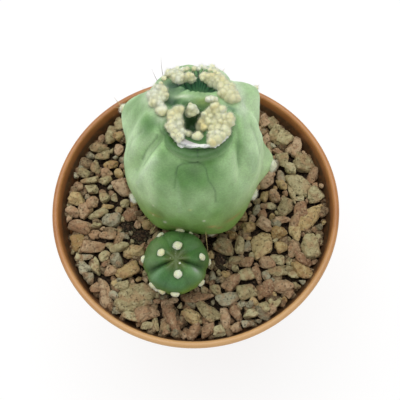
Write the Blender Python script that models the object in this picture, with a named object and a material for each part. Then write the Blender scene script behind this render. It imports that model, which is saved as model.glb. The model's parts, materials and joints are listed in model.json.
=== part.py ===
"""A potted two-headed cactus: pot, soil, gravel dressing, main stem, offset and crown wool.

Run with: blender --background --python part.py
Metres, +Z up. The origin is the middle of the pot's flat foot. The front of the plant, where
its offset grows, faces -Y.
"""
import math

import bmesh
import bpy
import numpy as np
from mathutils import Euler, Vector

MM = 0.001

# Pot: a round plastic nursery pot with a rolled lip over a short band. The lip's roll is turned
# from below level outside to below level inside, in degrees.
POT_RADIUS = 52.5 * MM
POT_HEIGHT = 85.0 * MM
LIP_WIDTH = 2.4 * MM
LIP_STEP = 40
LIP_END = 201
LIP_DEPTH = 3.5 * MM
MOUTH_FLARE = 0.3 * MM
BAND_DEPTH = 9.0 * MM
BAND_TAPER = 1.3 * MM
WALL = 1.6 * MM
WALL_TOP_RADIUS = 49.2 * MM
FOOT_RADIUS = 37.0 * MM
FOOT_RING_WIDTH = 4.0 * MM
FOOT_RING_HEIGHT = 2.0 * MM
FOOT_RING_SLOPE = 1.0 * MM
FLOOR = 2.0 * MM
POT_SIDES = 48
DRAIN_HOLES = 6
DRAIN_RADIUS = 3.5 * MM
DRAIN_SIDES = 12
DRAIN_CIRCLE = 25.0 * MM
DRAIN_REACH = 16.0 * MM

# Fill: soil below, a dressing of lava stones above. Heights on the plants are from GROUND.
GAP = 0.35 * MM
GROUND = POT_HEIGHT - 5.0 * MM
BED_TOP = GROUND - 2.6 * MM
BED_BOTTOM = GROUND - 7.5 * MM
SOIL_SIDES = 32
STEM_HOLE_RADIUS = 17.0 * MM
OFFSET_HOLE_RADIUS = 10.0 * MM
HOLE_SIDES = 24
HOLE_ABOVE = 5.0 * MM
STONE_COUNT = 180
STONE_SMALL = 2.3 * MM
STONE_LARGE = 5.0 * MM
STONE_CROWDING = 1.22
STONE_SIDES = 5
STONE_TOP = 0.66
STONE_JITTER = 0.2
STONE_TRIES = 500
STONE_SINK = 0.3
STONE_DROP = 0.7 * MM
STONE_LEAST = 0.6
STONE_SPREAD = (1.5, 2.2)
STONE_SHAPE = ((0.92, 0.8, 0.6), (1.05, 0.95, 0.8))
STONE_TURN = ((-0.3, -0.3, 0.0), (0.3, 0.3, math.tau))
STONE_SEED = 11

# Main stem: a squarish barrel, flattened at its crown, with two growing heads.
STEM_FOOT = Vector((-0.3, 8.6, 0.0)) * MM
STEM_LEAN = Vector((2.8, 0.0, 0.0)) * MM
STEM_RADIUS = 23.2 * MM
STEM_WAIST = 20.0 * MM
STEM_RISE = 46.0 * MM
STEM_ROOT = 28.0 * MM
STEM_SQUARENESS = (2.05, 2.6)
STEM_SIDES = 48
STEM_CLEAR = 16.5 * MM
CROWN_LEVEL = 61.0 * MM
CROWN_TILT = 0.05
CROWN_ROUNDING = 2.2 * MM
CROWN_FADE = (48.0 * MM, 54.0 * MM)

# Ovals on the crown: centre across it, half sizes, and turn in degrees.
# Front head: a cup with a torn rim, and a thick collar with a crease below it.
FRONT_CUP = ((1.6 * MM, -6.1 * MM), (9.7 * MM, 7.4 * MM), 0.0)
FRONT_CUP_DEPTH = 1.7 * MM
FRONT_PIT = ((-0.4 * MM, -5.4 * MM), (3.9 * MM, 5.4 * MM), 8.0)
FRONT_PIT_DEPTH = 3.0 * MM
FRONT_RIM_RISE = 0.8 * MM
FRONT_RIM_WIDTH = 0.1
COLLAR = ((0.6 * MM, -6.5 * MM), (12.0 * MM, 10.6 * MM), 0.0)
COLLAR_RISE = 0.9 * MM
COLLAR_CREASE = 1.9 * MM
COLLAR_WIDTH = 0.1
COLLAR_LINE = 0.86
CREASE_LINE = 1.06
COLLAR_FADE = (75.0, 115.0)

# Rear head: a hollow with furrows running into it, behind a green saddle.
REAR_HOLLOW = ((2.3 * MM, 7.5 * MM), (6.6 * MM, 3.4 * MM), -12.0)
REAR_HOLLOW_DEPTH = 6.0 * MM
REAR_FURROWS = 15
REAR_FURROW_DEPTH = 0.35 * MM
REAR_FURROW_REACH = 0.45
SADDLE = ((1.2 * MM, 2.2 * MM), (5.0 * MM, 2.2 * MM), -6.0)
SADDLE_RISE = 2.0 * MM
SIDE_HOLLOW = ((-6.6 * MM, 3.0 * MM), (2.6 * MM, 3.4 * MM), 0.0)
SIDE_HOLLOW_DEPTH = 1.7 * MM

# Flanks: angle in degrees from +X, height, half widths in degrees and millimetres, rise.
STEM_LOBES = (
    (157, 46, 14, 8, 3.0),
    (-4, 21, 14, 9, 4.0),
    (27, 52, 12, 7, 3.4),
    (64, 42, 15, 10, 2.0),
    (98, 30, 15, 11, 2.2),
    (128, 46, 14, 9, 1.9),
    (-128, 44, 11, 9, 1.1),
    (-166, 30, 14, 14, 0.9),
    (-92, 26, 24, 12, 0.8),
    (-34, 42, 10, 12, 1.2),
)
# Furrows: angle and height at the top, at the middle and at the foot, depth.
STEM_FURROWS = (
    ((-140, 60), (-148, 52), (-158, 36), 2.5),
    ((-42, 60), (-51, 48), (-56, 32), 2.6),
    ((178, 58), (180, 46), (176, 34), 1.0),
    ((4, 58), (0, 48), (6, 38), 1.3),
    ((46, 58), (47, 40), (44, 14), 1.5),
    ((82, 58), (81, 36), (79, 12), 1.4),
    ((114, 58), (113, 36), (116, 10), 1.3),
    ((142, 58), (141, 34), (146, 10), 1.2),
    ((-110, 56), (-108, 48), (-106, 36), 0.8),
    ((-80, 55), (-80, 48), (-76, 36), 0.8),
)
FURROW_WIDTH = 6.0
# Areoles and loose tufts: their proportions and how uneven they are.
AREOLE_SHAPE = (1.0, 1.0, 0.9)
TUFT_SHAPE = (1.0, 1.0, 1.1)
AREOLE_JITTER = 0.1
# Areoles on the flanks: angle in degrees, height and radius in millimetres.
STEM_AREOLES = (
    (157, 46, 1.6),
    (-4, 21, 1.8),
    (26, 53, 0.9),
    (-20, 6, 1.7),
    (-167, 5, 1.6),
    (-76, 6, 1.5),
    (-140, 3, 1.3),
    (64, 43, 1.5),
    (98, 30, 1.6),
    (128, 47, 1.5),
    (62, 14, 1.5),
    (104, 9, 1.4),
    (138, 16, 1.5),
)
# Loose tufts on the crown: place across the crown and radius in millimetres.
CROWN_TUFTS = (
    (-9.6, -0.6, 1.7),
    (0.4, -9.5, 1.6),
    (-3.0, -8.4, 1.2),
    (5.6, 1.6, 1.3),
    (4.6, 12.8, 1.0),
    (6.6, 13.2, 1.0),
    (-4.6, 3.1, 0.9),
)
# Spines: areole's angle and height, then turn and lift in degrees and length in millimetres.
STEM_SPINES = (
    (157, 46, -28, 30, 4.6),
    (157, 46, 22, 16, 3.6),
    (157, 46, -4, 60, 4.2),
    (26, 53, 10, 34, 1.6),
    (-76, 6, -14, 6, 7.4),
    (-140, 3, -20, 28, 3.2),
    (-140, 3, 24, 14, 2.6),
    (98, 30, -24, 24, 4.4),
    (98, 30, 26, 20, 3.8),
    (128, 47, 6, 48, 5.0),
    (64, 43, -16, 30, 4.0),
    (62, 14, 18, 10, 3.4),
    (138, 16, -18, 12, 3.6),
)
# Spine of the rear head: place across the crown, turn and lift, length.
REAR_SPINE = ((-8.9, 13.4), (104, 62), 6.4)
SPINE_RADIUS = 0.32 * MM
SPINE_ROOT = 1.2 * MM

# Offset: a small round stem with eight ribs.
OFFSET_FOOT = Vector((-8.2, -22.6, 0.0)) * MM
OFFSET_LEAN = Vector((0.4, -3.6, 0.0)) * MM
OFFSET_RADIUS = 11.9 * MM
OFFSET_WAIST = 8.0 * MM
OFFSET_RISE = 11.4 * MM
OFFSET_ROOT = 14.0 * MM
OFFSET_SQUARENESS = (2.25, 2.25)
# Ribs: angle of each in degrees, and depth of the groove after it in millimetres.
OFFSET_RIBS = (5, 50, 90, 135, 175, 225, 270, 320)
OFFSET_GROOVES = (0.8, 0.8, 0.9, 0.8, 1.5, 0.9, 0.9, 1.5)
OFFSET_DIMPLE = 0.9 * MM
OFFSET_SIDES = 40
OFFSET_CLEAR = 9.0 * MM
# Areoles of the offset: rib's place in the list, latitude in degrees, radius in millimetres.
OFFSET_AREOLES = (
    (0, 34, 1.45),
    (0, -8, 1.3),
    (1, 14, 1.0),
    (2, 54, 1.5),
    (3, 52, 1.5),
    (3, 8, 1.4),
    (4, 8, 1.45),
    (5, 6, 1.4),
    (6, 62, 1.45),
    (6, 0, 1.5),
    (7, 10, 1.5),
)

# Wool: how far a tuft's middle stands off the skin as a share of its radius, and its shape.
WOOL_HEIGHT = 0.55
WOOL_STRETCH = 1.15
WOOL_JITTER = 0.16
WOOL_SEED = 5
# Wool bunches: name, then tufts as place across the crown and radius, all in millimetres.
WOOL_BUNCHES = {
    "wool_front_left": (
        (-4.6, -11.1, 1.5), (-6.0, -9.2, 1.8), (-6.8, -6.8, 2.1), (-7.1, -4.2, 2.2),
        (-6.6, -1.8, 2.0), (-5.3, 0.2, 1.6), (-3.5, -0.2, 1.3), (-1.8, -1.0, 1.7),
        (0.0, -0.1, 1.6),
    ),
    "wool_front_right": (
        (6.2, -1.5, 2.1), (3.8, -2.2, 1.8), (2.1, -4.7, 1.9), (5.4, -4.4, 2.2),
        (8.6, -3.0, 1.8), (8.5, -5.6, 2.1), (10.6, -6.4, 1.9), (4.4, -7.2, 1.8),
        (7.2, -8.2, 2.0), (9.6, -8.9, 1.7), (4.9, -10.2, 1.7), (7.4, -11.2, 1.8),
    ),
    "wool_rear_right": (
        (3.7, 10.3, 1.5), (5.5, 9.9, 1.8), (7.5, 8.8, 2.0), (9.3, 7.0, 2.1),
        (10.7, 5.0, 2.1), (12.0, 3.0, 2.1), (13.4, 1.2, 1.8), (11.3, 0.8, 1.6),
    ),
    "wool_rear_left": (
        (-0.5, 10.5, 1.5), (-2.5, 10.2, 1.8), (-4.7, 9.8, 1.7), (-5.8, 11.9, 1.7),
        (-3.9, 12.7, 1.7),
    ),
    "wool_left_shoulder": (
        (-9.6, 7.0, 1.7), (-11.0, 5.1, 2.0), (-12.2, 3.1, 2.0), (-13.3, 1.2, 1.7),
        (-10.9, 2.2, 1.6),
    ),
}

# Colours, roughness.
PLASTIC = ((0.42, 0.16, 0.07), 0.45)
SOIL = ((0.045, 0.032, 0.024), 0.95)
STONE = ((0.24, 0.17, 0.13), 0.9)
SKIN = ((0.17, 0.33, 0.14), 0.55)
OFFSET_SKIN = ((0.07, 0.2, 0.07), 0.5)
WOOL = ((0.72, 0.65, 0.42), 0.95)


# Small helpers

def material(name, finish):
    """A plain Principled material of a colour and a roughness."""
    colour, roughness = finish
    made = bpy.data.materials.new(name)
    made.use_nodes = True
    shader = made.node_tree.nodes["Principled BSDF"]
    shader.inputs["Base Color"].default_value = (*colour, 1.0)
    shader.inputs["Roughness"].default_value = roughness
    shader.inputs["Metallic"].default_value = 0.0
    return made


def add_object(name, shape, finish=None):
    """Turn a bmesh into a named object in the scene."""
    mesh = bpy.data.meshes.new(name)
    shape.to_mesh(mesh)
    shape.free()
    made = bpy.data.objects.new(name, mesh)
    bpy.context.scene.collection.objects.link(made)
    if finish:
        mesh.materials.append(finish)
    return made


def turned(profile, sides):
    """A solid turned about Z from a profile of (radius, height) that starts and ends on the axis."""
    shape = bmesh.new()
    points = [shape.verts.new((radius, 0.0, height)) for radius, height in profile]
    edges = [shape.edges.new(pair) for pair in zip(points, points[1:])]
    bmesh.ops.spin(shape, geom=points + edges, cent=(0, 0, 0), axis=(0, 0, 1),
                   angle=math.tau, steps=sides, use_merge=True)
    bmesh.ops.remove_doubles(shape, verts=shape.verts, dist=0.001 * MM)
    bmesh.ops.recalc_face_normals(shape, faces=shape.faces)
    return shape


def closed_grid(rings, bottom, top):
    """A closed skin over rings of points, with a point at each pole."""
    shape = bmesh.new()
    rows = [[shape.verts.new(point) for point in ring] for ring in rings]
    south = shape.verts.new(bottom)
    north = shape.verts.new(top)
    count = len(rows[0])
    for side in range(count):
        after = (side + 1) % count
        shape.faces.new((south, rows[0][after], rows[0][side]))
        for low, high in zip(rows, rows[1:]):
            shape.faces.new((low[side], low[after], high[after], high[side]))
        shape.faces.new((north, rows[-1][side], rows[-1][after]))
    return shape


def combine(body, others, operation):
    """Join other objects to a body, or cut them from it, in one Boolean, and remove them."""
    group = bpy.data.collections.new("tools")
    bpy.context.scene.collection.children.link(group)
    for other in others:
        group.objects.link(other)
    boolean = body.modifiers.new("combine", "BOOLEAN")
    boolean.operation = operation
    boolean.operand_type = "COLLECTION"
    boolean.collection = group
    boolean.solver = "EXACT"
    bpy.context.view_layer.update()
    result = bpy.data.meshes.new_from_object(body.evaluated_get(bpy.context.evaluated_depsgraph_get()))
    body.modifiers.remove(boolean)
    old = body.data
    result.name = old.name
    body.data = result
    bpy.data.meshes.remove(old)
    for other in others:
        spare = other.data
        bpy.data.objects.remove(other)
        bpy.data.meshes.remove(spare)
    bpy.data.collections.remove(group)


def drop_scraps(body):
    """Keep only the largest joined piece of an object, where a cut has left crumbs."""
    shape = bmesh.new()
    shape.from_mesh(body.data)
    waiting = set(shape.verts)
    groups = []
    while waiting:
        front = [waiting.pop()]
        group = list(front)
        while front:
            near = {edge.other_vert(point) for point in front for edge in point.link_edges}
            front = list(near & waiting)
            waiting.difference_update(front)
            group.extend(front)
        groups.append(group)
    groups.sort(key=len)
    for group in groups[:-1]:
        bmesh.ops.delete(shape, geom=group, context="VERTS")
    shape.to_mesh(body.data)
    shape.free()


def lump(centre, size, turn, jitter, random):
    """An uneven twenty-sided lump, as an object."""
    shape = bmesh.new()
    bmesh.ops.create_icosphere(shape, subdivisions=1, radius=1.0)
    rotation = Euler(turn).to_matrix()
    for point in shape.verts:
        stretch = Vector(size[axis] * point.co[axis] for axis in range(3))
        stretch *= 1.0 + jitter * random.uniform(-1.0, 1.0)
        point.co = Vector(centre) + rotation @ stretch
    return add_object("lump", shape)


def pebble(centre, size, turn, random):
    """An uneven stone with few sides and a narrower top, as an object."""
    shape = bmesh.new()
    bmesh.ops.create_cone(shape, cap_ends=True, segments=STONE_SIDES, radius1=1.0,
                          radius2=STONE_TOP, depth=2.0)
    rotation = Euler(turn).to_matrix()
    for point in shape.verts:
        stretch = Vector(size[axis] * point.co[axis] for axis in range(3))
        stretch *= 1.0 + STONE_JITTER * random.uniform(-1.0, 1.0)
        point.co = Vector(centre) + rotation @ stretch
        limit = inner_radius(point.co.z) * math.cos(math.pi / POT_SIDES) - GAP
        inward = min(1.0, limit / math.hypot(point.co.x, point.co.y))
        point.co.x *= inward
        point.co.y *= inward
    bmesh.ops.triangulate(shape, faces=shape.faces)
    return add_object("pebble", shape)


def thorn(root, direction, length):
    """A three-sided spine sunk a little at its root, as an object."""
    shape = bmesh.new()
    bmesh.ops.create_cone(shape, cap_ends=True, segments=3, radius1=SPINE_RADIUS,
                          radius2=0.0, depth=length + SPINE_ROOT)
    bmesh.ops.remove_doubles(shape, verts=shape.verts, dist=0.001 * MM)
    bmesh.ops.recalc_face_normals(shape, faces=shape.faces)
    turn = Vector((0, 0, 1)).rotation_difference(direction).to_matrix()
    middle = root + direction * (length - SPINE_ROOT) / 2.0
    for point in shape.verts:
        point.co = turn @ point.co + middle
    return add_object("thorn", shape)


# Smooth shapes used by both stems

def bell(value):
    """A smooth hump, 1 at zero and near 0 beyond 2."""
    return np.exp(-value ** 2)


def ramp(value, low, high):
    """0 below low, 1 above high, smooth between."""
    share = np.clip((value - low) / (high - low), 0.0, 1.0)
    return share * share * (3.0 - 2.0 * share)


def turn_between(angle, other):
    """Signed angle in degrees from other to angle, within half a turn."""
    return (angle - other + 180.0) % 360.0 - 180.0


def soft_cap(height, cap, rounding):
    """The lower of two heights, rounded where they meet."""
    blend = np.clip(0.5 + 0.5 * (cap - height) / rounding, 0.0, 1.0)
    return cap + (height - cap) * blend - rounding * blend * (1.0 - blend)


def barrel(latitude, radius, waist, rise, root, squareness):
    """Radius, height and outward direction of a squarish barrel at a latitude in degrees."""
    angle = np.radians(latitude)
    squareness = np.where(angle > 0, squareness[1], squareness[0])
    power = 2.0 / squareness
    reach = np.where(angle > 0, rise, root)
    across = np.clip(np.cos(angle), 0.0, 1.0) ** power
    upward = np.sign(angle) * np.abs(np.sin(angle)) ** power
    slope = squareness - 1.0
    out = across ** slope / radius
    up = np.sign(angle) * np.abs(upward) ** slope / reach
    length = np.hypot(out, up)
    return radius * across, waist + reach * upward, out / length, up / length


# Main stem

def oval(place, shape):
    """How far a place on the crown is from an oval's centre, 1 on the oval."""
    centre, size, turn = shape
    angle = math.radians(turn)
    x, y = place[0] - centre[0], place[1] - centre[1]
    along = x * math.cos(angle) + y * math.sin(angle)
    aside = y * math.cos(angle) - x * math.sin(angle)
    return np.hypot(along / size[0], aside / size[1])


def bearing(place, shape):
    """Direction in degrees of a place on the crown from an oval's centre."""
    return np.degrees(np.arctan2(place[1] - shape[0][1], place[0] - shape[0][0]))


def flank_relief(angle, height):
    """How far the flank stands out at an angle in degrees and a height."""
    relief = np.zeros(np.broadcast(angle, height).shape)
    level = height / MM
    for lobe_angle, lobe_height, wide, tall, rise in STEM_LOBES:
        aside = turn_between(angle, lobe_angle) / wide
        relief += rise * MM * bell(aside) * bell((level - lobe_height) / tall)
    for top, middle, foot, depth in STEM_FURROWS:
        heights = (foot[1], middle[1], top[1])
        bend = [foot[0], middle[0], top[0]]
        course = np.interp(level, heights, bend)
        fade = ramp(level, foot[1] - 8, foot[1] + 2) * (1 - ramp(level, top[1] - 2, top[1] + 5))
        relief -= depth * MM * bell(turn_between(angle, course) / FURROW_WIDTH) * fade
    return relief


def crown_relief(place):
    """How far the crown stands out at a place across it."""
    front = oval(place, FRONT_CUP)
    collar = oval(place, COLLAR)
    facing = 1.0 - ramp(np.abs(turn_between(bearing(place, COLLAR), -90.0)), *COLLAR_FADE)
    relief = -FRONT_CUP_DEPTH * (1.0 - ramp(front, 0.5, 0.95))
    relief -= FRONT_PIT_DEPTH * (1.0 - ramp(oval(place, FRONT_PIT), 0.3, 1.1))
    relief += FRONT_RIM_RISE * bell((front - 1.0) / FRONT_RIM_WIDTH) * (0.4 + 0.6 * facing)
    relief += COLLAR_RISE * facing * bell((collar - COLLAR_LINE) / COLLAR_WIDTH)
    relief -= COLLAR_CREASE * facing * bell((collar - CREASE_LINE) / COLLAR_WIDTH)
    relief += SADDLE_RISE * bell(oval(place, SADDLE))
    rear = oval(place, REAR_HOLLOW)
    relief -= REAR_HOLLOW_DEPTH * (1.0 - ramp(rear, 0.35, 1.1))
    comb = bell((rear - 1.1) / REAR_FURROW_REACH) * ramp(place[1], SADDLE[0][1], REAR_HOLLOW[0][1])
    spread = np.radians(bearing(place, REAR_HOLLOW))
    relief += REAR_FURROW_DEPTH * np.cos(REAR_FURROWS * spread) * comb
    relief -= SIDE_HOLLOW_DEPTH * bell(oval(place, SIDE_HOLLOW))
    return relief


def stem_point(angle, latitude, swell=0.0):
    """Points of the main stem's skin at angles and latitudes in degrees."""
    radius, height, out, up = barrel(
        latitude, STEM_RADIUS, STEM_WAIST, STEM_RISE, STEM_ROOT, STEM_SQUARENESS)
    turn = np.radians(angle)
    place = (radius * np.cos(turn), radius * np.sin(turn))
    capped = soft_cap(height, CROWN_LEVEL + CROWN_TILT * place[1], CROWN_ROUNDING)
    share_of_crown = ramp(height, *CROWN_FADE)
    relief = flank_relief(angle, height) + crown_relief(place) * share_of_crown + swell
    reach = radius + relief * out
    level = capped + relief * up
    share = level / CROWN_LEVEL
    x = STEM_FOOT.x + STEM_LEAN.x * share + reach * np.cos(turn)
    y = STEM_FOOT.y + STEM_LEAN.y * share + reach * np.sin(turn)
    return np.stack(np.broadcast_arrays(x, y, GROUND + level), axis=-1)


def stem_latitudes():
    """Rings close together on the crown and flanks, few below the gravel."""
    low = np.linspace(-76.0, -12.0, 5)
    flank = np.linspace(0.0, 44.0, 10)
    crown = np.linspace(48.0, 87.0, 17)
    return np.concatenate((low, flank, crown))


def stem_skin(swell=0.0):
    """The stem's bare skin as a closed shape, swollen by a clearance where asked."""
    angles = np.linspace(0.0, 360.0, STEM_SIDES, endpoint=False)
    rings = [stem_point(angles, latitude, swell) for latitude in stem_latitudes()]
    poles = stem_point(np.zeros(2), np.array((-90.0, 90.0)), swell)
    return closed_grid(rings, poles[0], poles[1])


def flank_latitude(height):
    """Latitude in degrees of the barrel at a height above the ground."""
    above = height > STEM_WAIST
    share = (height - STEM_WAIST) / (STEM_RISE if above else STEM_ROOT)
    sine = math.copysign(abs(share) ** (STEM_SQUARENESS[above] / 2.0), share)
    return math.degrees(math.asin(sine))


def crown_latitude(radius):
    """Latitude in degrees of the barrel's upper half at a radius."""
    return math.degrees(math.acos((radius / STEM_RADIUS) ** (STEM_SQUARENESS[1] / 2.0)))


def on_flank(angle, height_mm):
    """A point on the flank at an angle in degrees and a height in millimetres."""
    return Vector(stem_point(angle, flank_latitude(height_mm * MM)))


def on_crown(across_mm, back_mm):
    """A point on the crown at a place across it in millimetres."""
    angle = math.degrees(math.atan2(back_mm, across_mm))
    return Vector(stem_point(angle, crown_latitude(math.hypot(across_mm, back_mm) * MM)))


def aim(angle, lift):
    """A direction from a turn about Z and a lift above level, both in degrees."""
    turn, rise = math.radians(angle), math.radians(lift)
    return Vector((math.cos(turn) * math.cos(rise), math.sin(turn) * math.cos(rise), math.sin(rise)))


def build_stem(finish):
    """The main stem with its areoles, loose tufts and spines grown into it."""
    random = np.random.default_rng(WOOL_SEED)
    stem = add_object("stem", stem_skin(), finish)
    grown = []
    for angle, height, radius in STEM_AREOLES:
        size = Vector(AREOLE_SHAPE) * radius * MM
        grown.append(lump(on_flank(angle, height), size, (0, 0, angle), AREOLE_JITTER, random))
    for across, back, radius in CROWN_TUFTS:
        size = Vector(TUFT_SHAPE) * radius * MM
        grown.append(lump(on_crown(across, back), size, (0, 0, across), AREOLE_JITTER, random))
    for angle, height, turn, lift, length in STEM_SPINES:
        grown.append(thorn(on_flank(angle, height), aim(angle + turn, lift), length * MM))
    place, (turn, lift), length = REAR_SPINE
    grown.append(thorn(on_crown(*place), aim(turn, lift), length * MM))
    combine(stem, grown, "UNION")
    return stem


# Offset

def groove_relief(angle):
    """How deep the offset's skin lies between its ribs at angles in degrees."""
    relief = np.zeros(np.shape(angle))
    ribs = (*OFFSET_RIBS, OFFSET_RIBS[0] + 360)
    for low, high, depth in zip(ribs, ribs[1:], OFFSET_GROOVES):
        half = (high - low) / 2.0
        aside = np.abs(turn_between(angle, low + half)) / half
        relief -= depth * MM * np.clip(1.0 - aside, 0.0, 1.0) ** 1.6
    return relief


def offset_point(angle, latitude, swell=0.0):
    """Points of the offset's skin at angles and latitudes in degrees."""
    radius, height, out, up = barrel(
        latitude, OFFSET_RADIUS, OFFSET_WAIST, OFFSET_RISE, OFFSET_ROOT, OFFSET_SQUARENESS)
    turn = np.radians(angle)
    reaching = ramp(latitude, -50.0, 5.0) * (1.0 - ramp(latitude, 68.0, 90.0))
    relief = groove_relief(angle) * reaching + swell - OFFSET_DIMPLE * ramp(latitude, 66.0, 90.0)
    reach = radius + relief * out
    level = height + relief * up
    share = level / (OFFSET_WAIST + OFFSET_RISE)
    x = OFFSET_FOOT.x + OFFSET_LEAN.x * share + reach * np.cos(turn)
    y = OFFSET_FOOT.y + OFFSET_LEAN.y * share + reach * np.sin(turn)
    return np.stack(np.broadcast_arrays(x, y, GROUND + level), axis=-1)


def offset_skin(swell=0.0):
    """The offset's bare skin as a closed shape, swollen by a clearance where asked."""
    angles = np.linspace(0.0, 360.0, OFFSET_SIDES, endpoint=False)
    latitudes = np.concatenate((np.linspace(-70.0, -10.0, 4), np.linspace(2.0, 84.0, 9)))
    rings = [offset_point(angles, latitude, swell) for latitude in latitudes]
    poles = offset_point(np.zeros(2), np.array((-90.0, 90.0)), swell)
    return closed_grid(rings, poles[0], poles[1])


def build_offset(finish):
    """The offset with its areoles, cut clear of the main stem that it leans against."""
    random = np.random.default_rng(WOOL_SEED + 1)
    offset = add_object("offset", offset_skin(), finish)
    grown = []
    for rib, latitude, radius in OFFSET_AREOLES:
        place = Vector(offset_point(OFFSET_RIBS[rib], latitude))
        size = Vector(AREOLE_SHAPE) * radius * MM
        grown.append(lump(place, size, (0, 0, rib), AREOLE_JITTER, random))
    combine(offset, grown, "UNION")
    combine(offset, [add_object("clearance", stem_skin(GAP))], "DIFFERENCE")
    return offset


# Wool

def build_wool(finish):
    """Each bunch of wool, as joined tufts that sit just clear of the crown."""
    random = np.random.default_rng(WOOL_SEED + 2)
    for name, tufts in WOOL_BUNCHES.items():
        lumps = []
        for across, back, radius in tufts:
            place = on_crown(across, back)
            place.z += WOOL_HEIGHT * radius * MM
            size = Vector((1.0, 1.0, WOOL_STRETCH)) * radius * MM
            turn = random.uniform(0.0, math.tau, 3)
            lumps.append(lump(place, size, turn, WOOL_JITTER, random))
        bunch = lumps.pop(0)
        bunch.name = name
        bunch.data.name = name
        bunch.data.materials.append(finish)
        combine(bunch, lumps, "UNION")
        combine(bunch, [add_object("clearance", stem_skin(GAP))], "DIFFERENCE")
        drop_scraps(bunch)


# Pot and fill

def wall_radius(height):
    """Outer radius of the pot's tapered wall at a height."""
    share = height / (POT_HEIGHT - BAND_DEPTH)
    return FOOT_RADIUS + (WALL_TOP_RADIUS - FOOT_RADIUS) * share


def inner_radius(height):
    """Inner radius of the pot at a height."""
    return wall_radius(min(height, POT_HEIGHT - BAND_DEPTH)) - WALL


def build_pot(finish):
    """The pot: tapered wall, band with a rolled lip, foot ring and drainage holes."""
    band_bottom = POT_HEIGHT - BAND_DEPTH
    floor_top = FOOT_RING_HEIGHT + FLOOR
    lip = LIP_WIDTH / 2.0
    roll = [(POT_RADIUS - lip + lip * math.cos(math.radians(turn)),
             POT_HEIGHT - lip + lip * math.sin(math.radians(turn)))
            for turn in range(-LIP_STEP, LIP_END, LIP_STEP)]
    ring_inner = FOOT_RADIUS - FOOT_RING_WIDTH
    profile = [
        (0.0, FOOT_RING_HEIGHT),
        (ring_inner - FOOT_RING_SLOPE, FOOT_RING_HEIGHT),
        (ring_inner, 0.0),
        (FOOT_RADIUS, 0.0),
        (wall_radius(band_bottom), band_bottom),
        (POT_RADIUS - BAND_TAPER, band_bottom),
        *roll,
        (inner_radius(band_bottom) + MOUTH_FLARE, POT_HEIGHT - LIP_DEPTH),
        (inner_radius(band_bottom), band_bottom),
        (inner_radius(floor_top), floor_top),
        (0.0, floor_top),
    ]
    pot = add_object("pot", turned(profile, POT_SIDES), finish)
    drains = []
    for number in range(DRAIN_HOLES):
        turn = math.tau * number / DRAIN_HOLES
        shape = bmesh.new()
        bmesh.ops.create_cone(shape, cap_ends=True, segments=DRAIN_SIDES, radius1=DRAIN_RADIUS,
                              radius2=DRAIN_RADIUS, depth=DRAIN_REACH)
        bmesh.ops.translate(shape, verts=shape.verts,
                            vec=(DRAIN_CIRCLE * math.cos(turn), DRAIN_CIRCLE * math.sin(turn), 0.0))
        drains.append(add_object("drain", shape))
    combine(pot, drains, "DIFFERENCE")
    return pot


def plug(centre, radius, bottom, top):
    """A plain round plug that makes a planting hole, as an object."""
    shape = bmesh.new()
    bmesh.ops.create_cone(shape, cap_ends=True, segments=HOLE_SIDES, radius1=radius, radius2=radius,
                          depth=top - bottom)
    bmesh.ops.translate(shape, verts=shape.verts, vec=(centre.x, centre.y, (top + bottom) / 2.0))
    return add_object("plug", shape)


def build_soil(finish):
    """The soil that fills the pot, with a blind planting hole for each stem."""
    bottom = FOOT_RING_HEIGHT + FLOOR + GAP
    top = BED_BOTTOM - GAP
    profile = [
        (0.0, bottom),
        (inner_radius(bottom) - GAP, bottom),
        (inner_radius(top) - GAP, top),
        (0.0, top),
    ]
    soil = add_object("soil", turned(profile, SOIL_SIDES), finish)
    above = top + HOLE_ABOVE
    stem_hole = plug(STEM_FOOT, STEM_HOLE_RADIUS, GROUND + STEM_WAIST - STEM_ROOT - GAP, above)
    offset_hole = plug(OFFSET_FOOT, OFFSET_HOLE_RADIUS, GROUND + OFFSET_WAIST - OFFSET_ROOT - GAP, above)
    combine(soil, [stem_hole, offset_hole], "DIFFERENCE")
    return soil


def stone_places(random):
    """Places and radii of the stones, each set where it fits most tightly."""
    wall = inner_radius(GROUND) - GAP
    rings = [(STEM_FOOT.x, STEM_FOOT.y, STEM_CLEAR), (OFFSET_FOOT.x, OFFSET_FOOT.y, OFFSET_CLEAR)]
    while len(rings) < STONE_COUNT + 2:
        size = STONE_SMALL + (STONE_LARGE - STONE_SMALL) * random.beta(*STONE_SPREAD)
        turn = random.uniform(0.0, math.tau, STONE_TRIES)
        out = (wall - STONE_SMALL) * np.sqrt(random.uniform(0.0, 1.0, STONE_TRIES))
        x, y = out * np.cos(turn), out * np.sin(turn)
        placed = np.array(rings)
        room = np.hypot(x[:, None] - placed[:, 0], y[:, None] - placed[:, 1]) - placed[:, 2]
        room = np.minimum(room.min(axis=1), wall - out)
        fits = np.flatnonzero(room >= size)
        best = fits[np.argmin(room[fits])] if len(fits) else np.argmax(room)
        size = min(size, room[best])
        if size < STONE_SMALL * STONE_LEAST:
            break
        rings.append((x[best], y[best], size))
    return rings[2:]


def build_gravel(finish):
    """The stones, joined by the bed that they lie in, cut clear of both stems."""
    random = np.random.default_rng(STONE_SEED)
    edge = inner_radius(BED_BOTTOM) - GAP
    profile = [(0.0, BED_BOTTOM), (edge, BED_BOTTOM), (edge, BED_TOP), (0.0, BED_TOP)]
    gravel = add_object("gravel", turned(profile, SOIL_SIDES), finish)
    stones = []
    for x, y, room in stone_places(random):
        radius = room * STONE_CROWDING
        size = radius * random.uniform(*STONE_SHAPE)
        turn = random.uniform(*STONE_TURN)
        level = BED_TOP + STONE_SINK * size[2] - random.uniform(0.0, STONE_DROP)
        stones.append(pebble((x, y, level), size, turn, random))
    combine(gravel, stones, "UNION")
    clearances = [add_object("clearance", stem_skin(GAP)), add_object("clearance", offset_skin(GAP))]
    combine(gravel, clearances, "DIFFERENCE")
    drop_scraps(gravel)
    return gravel


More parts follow.
